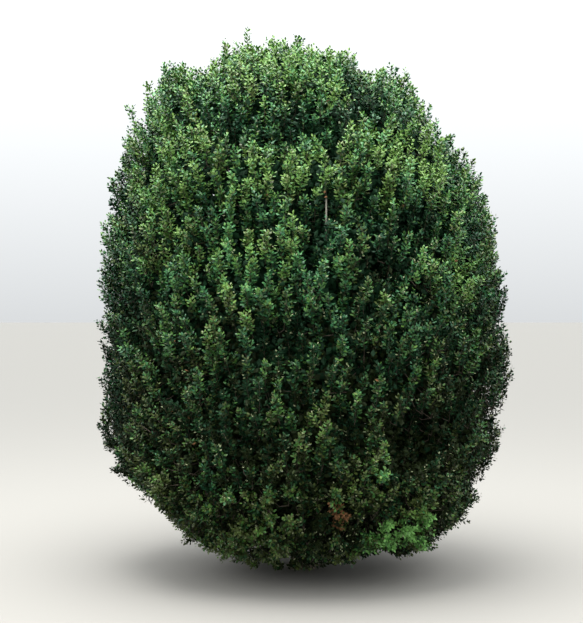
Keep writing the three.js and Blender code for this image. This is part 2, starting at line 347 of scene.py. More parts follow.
# the hidden ones lie round the back, and reach this angle past both sides
PAST_SIDES = 0.35
# a place takes in what stands no further than this behind its middle
DEEPEST_IN_PLACE = 0.45
# a spray lies in a hollow if the point this far below its tip does
BODY_BELOW = 0.050
LEAST_SET_BACK = 0.02


def place_on_crown(x, z):
    """The point of the crown's front face at a side distance and a height."""
    start = np.array([x, 0.0, z])
    return start + FRONT * crown_reach(start, FRONT[None])[0]


def hidden_places(count, sizes, random):
    """Seeded places round the sides and the back, with a width, a height and a strength each."""
    places = []
    while len(places) < count:
        angle = random.uniform(-PAST_SIDES, math.pi + PAST_SIDES)
        height = random.uniform(*HIDDEN_HEIGHTS)
        start = np.array([crown_axis(height), 0.0, height])
        side = np.array([math.cos(angle), math.sin(angle), 0.0])
        centre = start + side * crown_reach(start, side[None])[0]
        places.append((centre, *(random.uniform(low, high) for low, high in sizes)))
    return places


def nearness(points, places):
    """The strength that each point takes from the places it lies in, greatest at their middles."""
    strength = np.zeros(len(points))
    for centre, half_width, half_height, amount in places:
        facing = crown_normal(centre)
        across = unit(np.cross(UP, facing))
        offset = points - centre
        level = (offset @ across / half_width) ** 2 + (offset[:, 2] / half_height) ** 2
        here = np.clip(1 - level, 0, 1) * (offset @ facing > -DEEPEST_IN_PLACE)
        strength = np.maximum(strength, amount * np.sqrt(here))
    return strength


hollows = [(place_on_crown(x, z), *rest) for x, z, *rest in FRONT_HOLLOWS]
hollows += hidden_places(HIDDEN_HOLLOWS, HIDDEN_HOLLOW_SIZES, place_random)
# places where light is painted into the leaves, with the fresh clump last
lights = [(place_on_crown(x, z), *rest) for x, z, *rest in (*FRONT_PAINTED_LIGHTS, FRESH_CLUMP)]
fresh_clump = lights[-1:]
lights += hidden_places(HIDDEN_PAINTED_LIGHTS, HIDDEN_PAINTED_LIGHT_SIZES, place_random)
hollow_depth = nearness(tip - BODY_BELOW * UP, hollows)
print("hollows:", len(hollows), "sprays set back:", int((hollow_depth > LEAST_SET_BACK).sum()))

# %% [markdown]
# The outline isn't quite the egg's either. It is notched on both sides of the dome, drawn in
# under the right shoulder and above the right foot, and full at the foot. These places are
# set by side distance and height alone, so they shape the outline through its whole depth.
# The leaves inside the crown are kept in by the same notches.

# %% Notches and swells of the outline
# x, z, half width, half height, depth: a depth below zero stands out
OUTLINE_CHANGES = [
    (-0.52, 2.60, 0.12, 0.18, 0.060),
    (-0.26, 2.68, 0.14, 0.14, 0.022),
    (0.28, 2.64, 0.05, 0.12, 0.030),
    (-0.86, 2.12, 0.22, 0.44, 0.065),
    (-0.70, 2.32, 0.07, 0.14, -0.035),
    (0.12, 2.66, 0.18, 0.16, 0.040),
    (0.49, 2.42, 0.05, 0.14, 0.045),
    (0.36, 2.63, 0.10, 0.20, 0.090),
    (0.67, 2.33, 0.14, 0.18, 0.055),
    (0.98, 1.76, 0.12, 0.10, 0.030),
    (1.00, 1.57, 0.12, 0.09, 0.050),
    (1.03, 1.23, 0.12, 0.07, 0.050),
    (0.97, 0.85, 0.12, 0.11, 0.110),
    (0.90, 0.46, 0.14, 0.13, 0.100),
    (-0.84, 0.36, 0.14, 0.12, 0.060),
    (-0.74, 0.21, 0.14, 0.12, 0.070),
    (0.52, 0.12, 0.14, 0.10, -0.040),
    (-0.42, 0.12, 0.14, 0.10, -0.040),
]


def outline_change(points):
    """How far each point is set back, or out, by the outline's notches and swells."""
    change = np.zeros(len(points))
    for x, z, half_width, half_height, depth in OUTLINE_CHANGES:
        level = ((points[:, 0] - x) / half_width) ** 2 + ((points[:, 2] - z) / half_height) ** 2
        change += depth * np.sqrt(np.clip(1 - level, 0, 1))
    return change


outline_shift = outline_change(tip)
print("sprays moved for the outline:", int((outline_shift != 0).sum()))

# %% [markdown]
# A few sprays are features of their own: loose tips that stand out over the dome and the
# shoulders, low ones that lie on the ground round the trunk and hide its foot, two dead ones low
# down, and one bare stem that climbs through a dark gap at the front and ends in a light spray.
# They join the same lists, so that they grow by the same rule, and each is marked with its kind.

# %% Named sprays
# x, y, z of the tip, and its mass
LOOSE_TIPS = [
    (-0.285, -0.03, 2.715, "top"),
    (-0.015, -0.05, 2.675, "top"),
    (-0.620, -0.08, 2.480, "shoulder_1"),
    (-0.700, -0.05, 2.525, "shoulder_1"),
    (-0.800, 0.02, 2.465, "shoulder_1"),
    (-0.885, -0.04, 2.330, "shoulder_1"),
    (0.470, -0.06, 2.520, "shoulder_3"),
    (0.525, -0.02, 2.500, "shoulder_3"),
]
# x, z and mass of the light spray on the bare stem, and of the dead ones
LEADER = (0.093, 2.000, "upper_6")
DEAD_SPRAYS = [(0.140, 0.395, "skirt_1"), (0.172, 0.340, "skirt_1")]
NAMED_CLEARANCE = 0.060
NAMED_INSET = 0.045
# radius and number of the low sprays in each ring
LOW_RINGS = [(0.20, 12), (0.31, 18)]
LOW_MIDDLE = (-0.060, 0.0)
LOW_TIP = 0.062

mass_number = {mass["name"]: number for number, mass in enumerate(masses)}
mass_centres = np.array([mass["centre"] for mass in masses])
named_tips = [np.array(place[:3]) for place in LOOSE_TIPS]
named_masses = [mass_number[place[-1]] for place in LOOSE_TIPS]
named_kinds = ["loose"] * len(LOOSE_TIPS)
for radius, number_round in LOW_RINGS:
    for step in range(number_round):
        angle = 2 * math.pi * (step + place_random.random()) / number_round
        point = np.array([*LOW_MIDDLE, LOW_TIP]) + radius * np.array([math.cos(angle), math.sin(angle), 0.0])
        named_tips.append(point)
        named_masses.append(np.argmin(np.linalg.norm(mass_centres - point, axis=1)))
        named_kinds.append("low")
for x, z, mass_name in (*DEAD_SPRAYS, LEADER):
    point = place_on_crown(x, z)
    named_tips.append(point - NAMED_INSET * crown_normal(point))
    named_masses.append(mass_number[mass_name])
named_kinds += ["dead"] * len(DEAD_SPRAYS) + ["leader"]
clear = np.ones(len(tip), bool)
for point in named_tips[len(LOOSE_TIPS):]:
    clear &= np.linalg.norm(tip - point, axis=1) > NAMED_CLEARANCE
tip, tip_mass, hollow_depth, outline_shift = (
    values[clear] for values in (tip, tip_mass, hollow_depth, outline_shift))
named = len(named_tips)
tip = np.concatenate([tip, named_tips])
tip_mass = np.concatenate([tip_mass, named_masses])
outward = crown_normal(tip)
hollow_depth = np.concatenate([hollow_depth, np.zeros(named)])
outline_shift = np.concatenate([outline_shift, np.zeros(named)])
spray_kind = np.array([""] * (len(tip) - named) + named_kinds)
is_named = spray_kind != ""
is_low = spray_kind == "low"
is_dead_spray = spray_kind == "dead"
leader = len(tip) - 1
outward[is_low] = unit((tip[is_low] - np.array([*LOW_MIDDLE, 0.0])) * [1, 1, 0])
print("sprays in all:", len(tip), "low ones:", int(is_low.sum()))

# %% [markdown]
# A spray is a twig that turns up towards the light, with nine leafy side shoots and a leafy
# tip. The tip stands at the crown's outline, or somewhat inside it. On the sides a spray climbs
# at about seventy degrees, on the dome it is upright, on the underside it leans further out, and
# the low ones round the trunk lie nearly level.

# %% Set the sprays out
TIP_INSET = 0.014
UNEVEN = 0.045
UNEVEN_POWER = 1.5
DOME_INSET = 0.030
LUMP_SCALE = 5.5
LUMP_DEPTH = 0.050
FOOT_EVEN = 0.20
FOOT_EVEN_BELOW = 0.60
CLIMB = 3.0
FOOT_CLIMB = 0.36
LOW_CLIMB = 0.12
LEAST_RISE = 0.05
UNDERSIDE_RISE = 0.050
UNDERSIDE = (0.2, 0.8)
SPRAY_LENGTH = 0.142
LENGTH_CHANGE = (0.72, 1.25)
HEADING_CHANGE = 0.42
SPRAY_BOW = 0.017
LOWEST_FOOT = 0.040
DEEPEST_FOOT_LEVEL = 0.93
SHORTENINGS = 6
SHORTENING = 0.82
# how far before its foot a spray's twig has turned into line with it
ENTRY = 0.060
# the light spray's foot from its tip, then the bare stem's start and bend from that foot
LEADER_BODY = np.array([0.007, -0.020, -0.200])
LEADER_STEM = np.array([0.006, 0.035, -0.260])
LEADER_STEM_BEND = np.array([-0.002, -0.022, -0.120])
TWIG_COUNT = 30
TWIG_LIFT = 0.3
BRANCH_FROM = (0.40, 0.58)
spray_random = np.random.default_rng(23)


def noise_at(points, scale):
    """Smooth noise from -1 to 1 at each point."""
    return np.array([noise.noise(Vector(point) * scale) for point in points])


lump = noise_at(tip, LUMP_SCALE)
rough = UNEVEN * spray_random.random(len(tip)) ** UNEVEN_POWER
rough = rough * np.clip(FOOT_EVEN + tip[:, 2] / FOOT_EVEN_BELOW, 0, 1)
inset = TIP_INSET + DOME_INSET * np.maximum(outward[:, 2], 0) ** 2 + rough + hollow_depth + outline_shift
inset = np.where(is_named, 0, inset - LUMP_DEPTH * lump)
tip = tip - outward * inset[:, None]
climb = CLIMB * np.clip(1 + outward[:, 2], FOOT_CLIMB, 1)
climb = np.where(is_low, LOW_CLIMB, climb)
level_out = unit(outward * [1, 1, 0] + UP * np.maximum(outward[:, 2:], 0))
heading = unit(level_out + UP * climb[:, None] + HEADING_CHANGE * spray_random.normal(size=tip.shape))
tip = tip + heading * UNDERSIDE_RISE * smooth_step(-outward[:, 2:], *UNDERSIDE)
bow = outward * SPRAY_BOW
own_length = SPRAY_LENGTH * spray_random.uniform(*LENGTH_CHANGE, len(tip))
fall = np.minimum(own_length, (tip[:, 2] - LOWEST_FOOT) / np.maximum(heading[:, 2], LEAST_RISE))
foot = tip - heading * fall[:, None] - bow
for _ in range(SHORTENINGS):
    fall = np.where((crown_level(foot) > DEEPEST_FOOT_LEVEL) & ~is_low, fall * SHORTENING, fall)
    foot = tip - heading * fall[:, None] - bow
foot[leader] = tip[leader] + LEADER_BODY
bend = (tip + foot) / 2 - bow

to_tip = tip - mass_centres[tip_mass]
tip_distance = np.linalg.norm(to_tip, axis=1)
twig_headings = []
for mass in masses:
    lift = TWIG_LIFT * spray_random.random(TWIG_COUNT)[:, None]
    twig_headings.append(unit(even_directions(TWIG_COUNT) + UP * lift))
twig_headings = np.array(twig_headings)
spray_twig = np.argmax(np.einsum("nij,nj->ni", twig_headings[tip_mass], to_tip), axis=1)
branch_distance = tip_distance * spray_random.uniform(*BRANCH_FROM, len(tip))
start = mass_centres[tip_mass] + twig_headings[tip_mass, spray_twig] * branch_distance[:, None]
entry = foot - unit(bend - foot) * ENTRY
start[leader] = foot[leader] + LEADER_STEM
entry[leader] = foot[leader] + LEADER_STEM_BEND
print("spray length:", fall.mean(), "way in from its twig:", np.linalg.norm(foot - start, axis=1).mean())

# %% [markdown]
# Every limb below the boughs is a line with a thickness: the stem of a mass runs on from its
# bough to the mass's middle, thirty twigs branch from there, and each carries the sprays that
# lie nearest its own direction. A curved line with a few points is enough, because a tube is
# only drawn along it later.

# %% Trunk line, boughs and stems
TRUNK_TIP = np.array([SHOULDER_SHIFT, 0.0, 2.020])
TRUNK_BEND = np.array([0.010, -0.012, 1.010])
TRUNK_ROOT_RADIUS = 0.046
TRUNK_TIP_RADIUS = 0.013
FLARE_RADIUS = 0.078
FLARE_HEIGHT = 0.042
BOUGH_RISE = 0.330
BOUGH_STAGGER = 0.030
ENTRY_SLOPE = 0.32
BOUGH_ROOT_SHARE = 0.36
BOUGH_TIP_SHARE = 0.60
# how far from the trunk's middle a bough ends
BOUGH_TIP_RADIAL = 0.215
BOUGH_BEND_SHARE = 0.62


def curve_points(first, middle, last, shares):
    """Points of a quadratic curve at each share of its way, for one curve or for many."""
    share = np.asarray(shares)[..., None]
    return (1 - share) ** 2 * first + 2 * share * (1 - share) * middle + share**2 * last


def curve_headings(first, middle, last, shares):
    """The direction of a quadratic curve at each share of its way."""
    share = np.asarray(shares)[..., None]
    return unit((1 - share) * (middle - first) + share * (last - middle))


def trunk_radius(height):
    """The radius of the trunk at a height."""
    taper = blend(TRUNK_ROOT_RADIUS, TRUNK_TIP_RADIUS, height / TRUNK_TIP[2])
    return taper + (FLARE_RADIUS - TRUNK_ROOT_RADIUS) * np.exp(-height / FLARE_HEIGHT)


def bough_route(mass):
    """The curve of a bough, from the middle of the trunk to the edge of the hollow."""
    axis = np.array([crown_axis(mass["centre"][2]), 0.0, mass["centre"][2]])
    run = np.dot(mass["centre"] - axis, mass["side"]) - BOUGH_TIP_RADIAL
    end = mass["centre"] - mass["side"] * run - UP * run * ENTRY_SLOPE
    direction = unit(mass["centre"] - end)
    root_height = end[2] - BOUGH_RISE + ((mass["index"] * 2) % mass["ring"]) * BOUGH_STAGGER
    root = curve_points(np.zeros(3), TRUNK_BEND, TRUNK_TIP, root_height / TRUNK_TIP[2])
    middle = end - direction * BOUGH_TIP_RADIAL * BOUGH_BEND_SHARE
    return root, middle, end, trunk_radius(root_height) * BOUGH_ROOT_SHARE


for mass in masses:
    if mass["ring"] == 1:
        mass["stem_start"], mass["stem_radius"] = TRUNK_TIP, TRUNK_TIP_RADIUS
    else:
        mass["bough"] = bough_route(mass)
        mass["stem_start"] = mass["bough"][2]
        mass["stem_radius"] = mass["bough"][3] * BOUGH_TIP_SHARE
print("thickest stem:", max(mass["stem_radius"] for mass in masses))

# %% [markdown]
# Side shoots leave a spray's twig by turns round it, each a golden angle on from the last, so
# that no leaf stands right above another. Low shoots are long and spread wide, and high ones are
# short and steep. That gives the spray its flame shape. Shoots also lean towards the outside,
# because the inner side of a spray stays in the dark and grows little.

# %% Side shoots
SIDE_SHOOTS = 9
LEAFY_FROM = 0.02
LEAFY_TO = 0.94
LOW_SPREAD = math.radians(50)
HIGH_SPREAD = math.radians(29)
LOW_LENGTH = 0.071
HIGH_LENGTH = 0.041
DOME_SPREAD = math.radians(13)
OUTWARD_LEAN = 0.14
UPWARD_LEAN = 0.45
LEAST_UPWARD = 0.1
ALONG_SCATTER = 0.02
TURN_SCATTER = 0.35
SPREAD_SCATTER = 0.12
SHOOT_CHANGE = (0.65, 1.25)
# the last shoot is the twig's own end: where it starts, and how far it goes past the tip
END_FROM = 0.78
END_PAST = 0.014
GROUND_CLEARANCE = 0.016
shoot_random = np.random.default_rng(37)


def square_to(directions, random):
    """Two directions square to each given one and to each other, turned at random."""
    loose = unit(random.normal(size=directions.shape))
    first = unit(loose - directions * np.sum(loose * directions, axis=-1, keepdims=True))
    return first, np.cross(directions, first)


def spread_round(directions, first, second, turns, angles):
    """Directions leaned off an axis by an angle, at a turn round it."""
    round_axis = first * np.cos(turns)[..., None] + second * np.sin(turns)[..., None]
    return directions * np.cos(angles)[..., None] + round_axis * np.sin(angles)[..., None], round_axis


def kept_off_ground(starts, directions, lengths):
    """Directions, with those that would end on the ground turned up."""
    ends = starts[:, 2] + directions[:, 2] * lengths
    turned_up = directions * [1, 1, -1]
    return np.where((ends < GROUND_CLEARANCE)[:, None], turned_up, directions)


count = len(tip)
share = (np.arange(SIDE_SHOOTS) + 0.5) / SIDE_SHOOTS
along = np.broadcast_to(blend(LEAFY_FROM, LEAFY_TO, share), (count, SIDE_SHOOTS))
along = along + ALONG_SCATTER * shoot_random.normal(size=along.shape)
root = curve_points(foot[:, None], bend[:, None], tip[:, None], along)
axis_heading = curve_headings(foot[:, None], bend[:, None], tip[:, None], along)
first, second = square_to(heading, shoot_random)
turns = np.arange(SIDE_SHOOTS) * GOLDEN_ANGLE + TURN_SCATTER * shoot_random.normal(size=along.shape)
angles = blend(LOW_SPREAD, HIGH_SPREAD, share) + SPREAD_SCATTER * shoot_random.normal(size=along.shape)
angles += DOME_SPREAD * np.maximum(outward[:, 2:], 0)
leaned, _ = spread_round(axis_heading, first[:, None], second[:, None], turns, angles)
upward = UPWARD_LEAN * np.clip(1 + outward[:, 2], LEAST_UPWARD, 1)
leaned = unit(leaned + OUTWARD_LEAN * outward[:, None] + upward[:, None, None] * UP)
length = blend(LOW_LENGTH, HIGH_LENGTH, share) * shoot_random.uniform(*SHOOT_CHANGE, along.shape)

shoot_root = root.reshape(-1, 3)
shoot_heading = leaned.reshape(-1, 3)
shoot_length = length.reshape(-1)
shoot_spray = np.repeat(np.arange(count), SIDE_SHOOTS)

end_root = curve_points(foot, bend, tip, np.full(count, END_FROM))
shoot_root = np.concatenate([shoot_root, end_root])
shoot_heading = np.concatenate([shoot_heading, unit(tip - end_root)])
shoot_length = np.concatenate([shoot_length, np.linalg.norm(tip - end_root, axis=1) + END_PAST])
shoot_spray = np.concatenate([shoot_spray, np.arange(count)])
shoot_heading = kept_off_ground(shoot_root, shoot_heading, shoot_length)
print("shoots:", len(shoot_root), "mean length:", shoot_length.mean())

# %% [markdown]
# Leaves stand all round a shoot, one every six millimetres, spread wide at its foot and folded
# up round its tip. Their upper faces turn to the light. A holly leaf of this kind is about
# 24 mm long and a little over half as wide. The young ones at the tip are smaller and lighter.

# %% Leaves along the shoots
LEAF_LENGTH = 0.0242
LEAF_WIDTH = 0.0145
LEAF_SPACING = 0.0060
MOST_LEAVES = 19
WIDE_LEAF_ANGLE = math.radians(66)
TIP_LEAF_ANGLE = math.radians(36)
TIP_LEAF_SHARE = 0.62
FOLD_POWER = 1.5
FIRST_LEAF = 0.10
FACE_LIFT = 0.35
FACE_OUT = 0.70
LEAF_ALONG_SCATTER = 0.02
LEAF_TURN_SCATTER = 0.25
LEAF_ANGLE_SCATTER = 0.16
FACE_SCATTER = 0.18
LEAF_CHANGE = (0.84, 1.12)
leaf_random = np.random.default_rng(53)


def leaves_on(roots, headings, lengths, outwards, random):
    """Leaf places, directions, faces and sizes along each shoot, and the shoot they stand on."""
    slot = np.arange(MOST_LEAVES)
    shape = (len(roots), MOST_LEAVES)
    share = FIRST_LEAF + slot * LEAF_SPACING / lengths[:, None]
    share = share + LEAF_ALONG_SCATTER * random.normal(size=shape)
    grows = share < 1.0
    first, second = square_to(headings, random)
    turns = slot * GOLDEN_ANGLE + LEAF_TURN_SCATTER * random.normal(size=shape)
    angles = blend(WIDE_LEAF_ANGLE, TIP_LEAF_ANGLE, share**FOLD_POWER)
    angles = angles + LEAF_ANGLE_SCATTER * random.normal(size=shape)
    pointing, round_axis = spread_round(headings[:, None], first[:, None], second[:, None], turns, angles)
    face = headings[:, None] * np.sin(angles)[..., None] - round_axis * np.cos(angles)[..., None]
    face = face + FACE_LIFT * UP + FACE_OUT * outwards[:, None]
    face = unit(face + FACE_SCATTER * random.normal(size=face.shape))
    place = roots[:, None] + headings[:, None] * (lengths[:, None] * share)[..., None]
    size = (1 - (1 - TIP_LEAF_SHARE) * share**2) * random.uniform(*LEAF_CHANGE, shape)
    owner = np.broadcast_to(np.arange(len(roots))[:, None], shape)
    return place[grows], unit(pointing)[grows], face[grows], size[grows], share[grows], owner[grows]


leaf_place, leaf_heading, leaf_face, leaf_size, leaf_share, leaf_shoot = leaves_on(
    shoot_root, shoot_heading, shoot_length, outward[shoot_spray], leaf_random)
leaf_spray = shoot_spray[leaf_shoot]
leaf_heading = kept_off_ground(leaf_place, leaf_heading, LEAF_LENGTH * leaf_size)
print("leaves on shoots:", len(leaf_place))

# %% [markdown]
# Behind the sprays the light is poor. The leaves there are old and dark, sparse along each twig,
# but so many twigs cross that hardly any light comes through. Two sets stand for them, both
# larger than life to keep their number down: some along each twig that leads to a spray, and a
# dark ground of leaves spread evenly a hand's width or two behind the surface, the deepest of
# them the largest. Evenly spread leaves close a view with far fewer than leaves thrown at random.
# Their colour is darker than an old leaf's own: painted shade for the dark inside of the crown.

# %% Old leaves inside the crown
INNER_LEAVES = 8
INNER_ALONG = (0.2, 1.0)
INNER_SIZE = (1.2, 1.5)
INNER_SCATTER = 0.040
GROUND_LEAVES = 75000
GROUND_DEPTH = (0.105, 0.215)
GROUND_SIZE = (1.5, 2.6)
GROUND_MIDDLE = np.array([0.0, 0.0, 1.20])
OLD_TURN = 0.25
OLD_LIFT = 0.5
# the egg's level that the leaves along the twigs stay below, and how it falls in a notch
INSIDE_LEVEL = 0.90
LEVEL_PER_METRE = 2.4
inner_random = np.random.default_rng(71)

shape = (count, INNER_LEAVES)
along = inner_random.uniform(*INNER_ALONG, shape)
place = curve_points(start[:, None], entry[:, None], foot[:, None], along)
place = (place + INNER_SCATTER * inner_random.normal(size=place.shape)).reshape(-1, 3)
within = crown_level(place) < INSIDE_LEVEL - LEVEL_PER_METRE * outline_change(place)
inner_place = place[within]
inner_mass = np.repeat(tip_mass, INNER_LEAVES)[within]
inner_outward = np.repeat(outward, INNER_LEAVES, axis=0)[within]
inner_size = inner_random.uniform(*INNER_SIZE, len(inner_place))

direction = even_directions(GROUND_LEAVES)
skin = GROUND_MIDDLE + direction * crown_reach(GROUND_MIDDLE, direction)[:, None]
facing = crown_normal(skin)
depth_share = inner_random.random(GROUND_LEAVES)
behind = blend(*GROUND_DEPTH, depth_share) + nearness(skin, hollows) + outline_change(skin)
behind -= LUMP_DEPTH * noise_at(skin, LUMP_SCALE)
ground_place = skin - facing * behind[:, None]
from_centres = np.linalg.norm(ground_place[:, None] - mass_centres[None], axis=2)
ground_mass = np.argmin(from_centres, axis=1)
ground_size = blend(*GROUND_SIZE, depth_share)

old_place = np.concatenate([inner_place, ground_place])
old_mass = np.concatenate([inner_mass, ground_mass])
old_size = np.concatenate([inner_size, ground_size])
old_outward = np.concatenate([inner_outward, facing])
old_heading = unit(inner_random.normal(size=old_place.shape) + OLD_LIFT * UP)
old_face = unit(OLD_TURN * inner_random.normal(size=old_place.shape) + old_outward)
print("old leaves:", len(inner_place), "and", len(ground_place))

# %% [markdown]
# Colour is dealt out by spray and by leaf. Each spray gets a tone: lighter near the top, where
# the growth is young and where light from above is painted in, and changing slowly from place to
# place. Shade is painted into it in the hollows, in sprays set further in and on the flanks, and
# the lumps get painted light where they stand out and painted shade where they sink in. Light is
# painted into a few places, and the clump at the foot is lifted for its own fresh colour. Each
# leaf then moves a little from its spray's tone: darker deep in the spray, as painted shade, and
# lighter towards a shoot's tip, where the leaves are young. It gets a warmth as well: a cool tint
# is painted into the leaves in the shade of the upper half, and low down they are warm and olive.
# Tone and warmth together pick one of the leaf colours, so the darker and lighter kinds carry
# painted shade and light besides the leaves' own differences. The clump at the foot has fresh new
# leaves, and small pale ones are strewn over all but the top: partly pale blades, partly painted
# glints of light on their wax.

# %% Tones and kinds of leaf
LEAF_KINDS = [
    "old", "old_olive", "dark", "dark_cool", "mature", "cool", "warm", "olive",
    "light", "light_cool", "light_warm", "light_olive", "fresh", "fresh_cool", "fresh_warm",
    "young", "new", "pale"]
# the first two kinds, old and old_olive, have the plainer blade
OLD_KINDS = 2
KIND = {name: number for number, name in enumerate(LEAF_KINDS)}
# from dark to light in each row, and from the coolest row to the warmest; the steps from dark
# to light carry painted light and shade as well as the leaves' own differences
KIND_ROWS = [
    ["old", "dark_cool", "cool", "light_cool", "fresh_cool"],
    ["old", "dark", "mature", "light", "fresh"],
    ["old", "dark", "warm", "light_warm", "fresh_warm"],
    ["old_olive", "old_olive", "olive", "light_olive", "fresh_warm"],
]
# the tones at which one kind gives way to the next in a row
KIND_LEVELS = [0.20, 0.38, 0.66, 0.90]
# the crown's tone at each height: lighter towards the top, partly for the young growth there
# and partly as painted light from above, and darker below the middle as painted shade
TONE_HEIGHTS = [0.20, 0.45, 0.75, 1.10, 1.50, 2.20, 2.45]
TONES_AND_PAINTED_LIGHT_THERE = [0.40, 0.36, 0.32, 0.30, 0.61, 0.72, 0.82]
SLOW_TONE = 0.18
# painted light on lumps that stand out and painted shade on those that sink in, weaker low down
LOW_LUMP_PAINTED_LIGHT = 0.24
HIGH_LUMP_PAINTED_LIGHT = 0.42
LUMP_PAINTED_LIGHT_HEIGHTS = (0.90, 2.30)
# painted shade in the hollows, per metre of a hollow's depth
HOLLOW_PAINTED_SHADE = 3.4
# painted shade deep in a spray, per metre that a leaf stands behind the usual depth
DEPTH_PAINTED_SHADE = 1.3
USUAL_DEPTH = 0.035
# painted shade on sprays set further in at random, per metre of their set back
ROUGH_PAINTED_SHADE = 1.6
# painted shade on the flanks that face left and right, below the shoulders
FLANK_PAINTED_SHADE = 0.24
FLANK_POWER = 4
FLANK_HEIGHTS = (1.85, 2.25)
TIP_LIGHTNESS = 0.29
USUAL_SHARE = 0.55
SPRAY_TONE_SCATTER = 0.11
SHOOT_TONE_SCATTER = 0.06
LEAF_TONE_SCATTER = 0.10
SLOW_CHANGE = 2.3
CLUMP_CHANGE = 0.24
# the crown's own warmth at each height, and the warmths at which one row gives way to the next
WARMTH_HEIGHTS = [0.30, 0.80, 1.40, 2.00, 2.60]
WARMTHS_THERE = [1.80, 1.05, 0.10, 0.10, 0.15]
WARMTH_LEVELS = [-0.50, 0.45, 1.20]
SPRAY_WARMTH = 1.20
SLOW_WARMTH = 1.00
LEAF_WARMTH = 0.85
# a cool tint painted into leaves in the shade of the upper half, as painted shade
SHADE_COOLNESS = 2.00
# leaves darker than this count as shaded
SHADE_TONE = 0.72
SHADE_HEIGHTS = (1.20, 2.00)
OLD_OLIVE_SHARE = 0.95
OLIVE_HEIGHTS = (0.35, 1.75)
# small pale leaves: partly pale blades, partly painted glints of light on the waxy blades
PALE_AND_GLINT_LEAVES = 0.048
PALE_AND_GLINT_SIZE = 0.60
PALE_AND_GLINT_BELOW = 1.75
DEAD_LEAVES = 0.0005
DEAD_SPRAY_SHARE = 0.75
# how far the leaves round the joint of the bare stem are dry
LEADER_DRY = 0.022
DEAD = len(LEAF_KINDS)
tone_random = np.random.default_rng(89)
hue_random = np.random.default_rng(97)

slow = noise_at(tip, SLOW_CHANGE)
spray_young = nearness(tip, fresh_clump) > 0
# the spray's tone: painted light by height and on lumps that stand out, painted shade on sunk lumps, on
# sprays set further in and on the flanks, and its own slow and random change
lump_painted_light = blend(LOW_LUMP_PAINTED_LIGHT, HIGH_LUMP_PAINTED_LIGHT, smooth_step(tip[:, 2], *LUMP_PAINTED_LIGHT_HEIGHTS))
spray_tone = np.interp(tip[:, 2], TONE_HEIGHTS, TONES_AND_PAINTED_LIGHT_THERE) + SLOW_TONE * slow + lump_painted_light * lump
spray_tone -= ROUGH_PAINTED_SHADE * rough
flank = outward[:, 0] ** FLANK_POWER * (1 - smooth_step(tip[:, 2], *FLANK_HEIGHTS))
spray_tone -= FLANK_PAINTED_SHADE * flank
spray_tone += SPRAY_TONE_SCATTER * tone_random.normal(size=count)
spray_tone += CLUMP_CHANGE * spray_young * tone_random.normal(size=count)
spray_warmth = SPRAY_WARMTH * (tone_random.random(count) + tone_random.random(count) - 1)
spray_warmth += np.interp(tip[:, 2], WARMTH_HEIGHTS, WARMTHS_THERE)
spray_warmth += SLOW_WARMTH * noise_at(tip + UP, LUMP_SCALE)

shoot_middle = shoot_root + shoot_heading * shoot_length[:, None] / 2
shoot_tone = spray_tone[shoot_spray] + SHOOT_TONE_SCATTER * tone_random.normal(size=len(shoot_root))
# painted light in the light places, the fresh clump's own lighter colour, and painted shade in the hollows
shoot_tone += nearness(shoot_middle, lights) - HOLLOW_PAINTED_SHADE * nearness(shoot_middle, hollows)
depth = np.sum((tip[leaf_spray] - leaf_place) * outward[leaf_spray], axis=1)
leaf_tone = shoot_tone[leaf_shoot] + TIP_LIGHTNESS * (leaf_share - USUAL_SHARE)
# painted shade deep in the spray
leaf_tone -= DEPTH_PAINTED_SHADE * (depth - USUAL_DEPTH)
leaf_tone += LEAF_TONE_SCATTER * tone_random.normal(size=len(leaf_place))
leaf_tone += CLUMP_CHANGE * spray_young[leaf_spray] * tone_random.normal(size=len(leaf_place))
level = np.searchsorted(KIND_LEVELS, leaf_tone)
# a cool tint painted into the shaded leaves of the upper half
shaded = smooth_step(leaf_place[:, 2], *SHADE_HEIGHTS) * (SHADE_TONE - leaf_tone)
leaf_warmth = spray_warmth[leaf_spray] - SHADE_COOLNESS * shaded
leaf_warmth += LEAF_WARMTH * hue_random.normal(size=len(leaf_place))
row = np.searchsorted(WARMTH_LEVELS, leaf_warmth)
leaf_kind = np.array([[KIND[name] for name in names] for names in KIND_ROWS])[row, level]
for usual, other in (("light", "young"), ("fresh", "new")):
    leaf_kind[spray_young[leaf_spray] & (level == KIND_ROWS[1].index(usual))] = KIND[other]
# small pale leaves, partly pale blades and partly painted glints
pale = (tone_random.random(len(leaf_place)) < PALE_AND_GLINT_LEAVES) & (leaf_place[:, 2] < PALE_AND_GLINT_BELOW)
leaf_kind[pale] = KIND["pale"]
leaf_size[pale] *= PALE_AND_GLINT_SIZE
is_dead = is_dead_spray[leaf_spray] & (tone_random.random(len(leaf_place)) < DEAD_SPRAY_SHARE)
is_dead |= tone_random.random(len(leaf_place)) < DEAD_LEAVES
is_dead |= (leaf_spray == leader) & (leaf_place[:, 2] < foot[leader, 2] + LEADER_DRY)
leaf_kind[is_dead] = DEAD
# old leaves inside the crown: their own dark colour, darkened further as painted shade
old_olive_share = OLD_OLIVE_SHARE * (1 - smooth_step(old_place[:, 2], *OLIVE_HEIGHTS))
old_kind = np.where(tone_random.random(len(old_place)) < old_olive_share, KIND["old_olive"], KIND["old"])

all_place = np.concatenate([leaf_place, old_place])
all_heading = np.concatenate([leaf_heading, old_heading])
all_face = np.concatenate([leaf_face, old_face])
all_size = np.concatenate([leaf_size, old_size])
all_kind = np.concatenate([leaf_kind, old_kind])
all_mass = np.concatenate([tip_mass[leaf_spray], old_mass])
print({kind: int((all_kind == number).sum()) for number, kind in enumerate([*LEAF_KINDS, "dead"])})

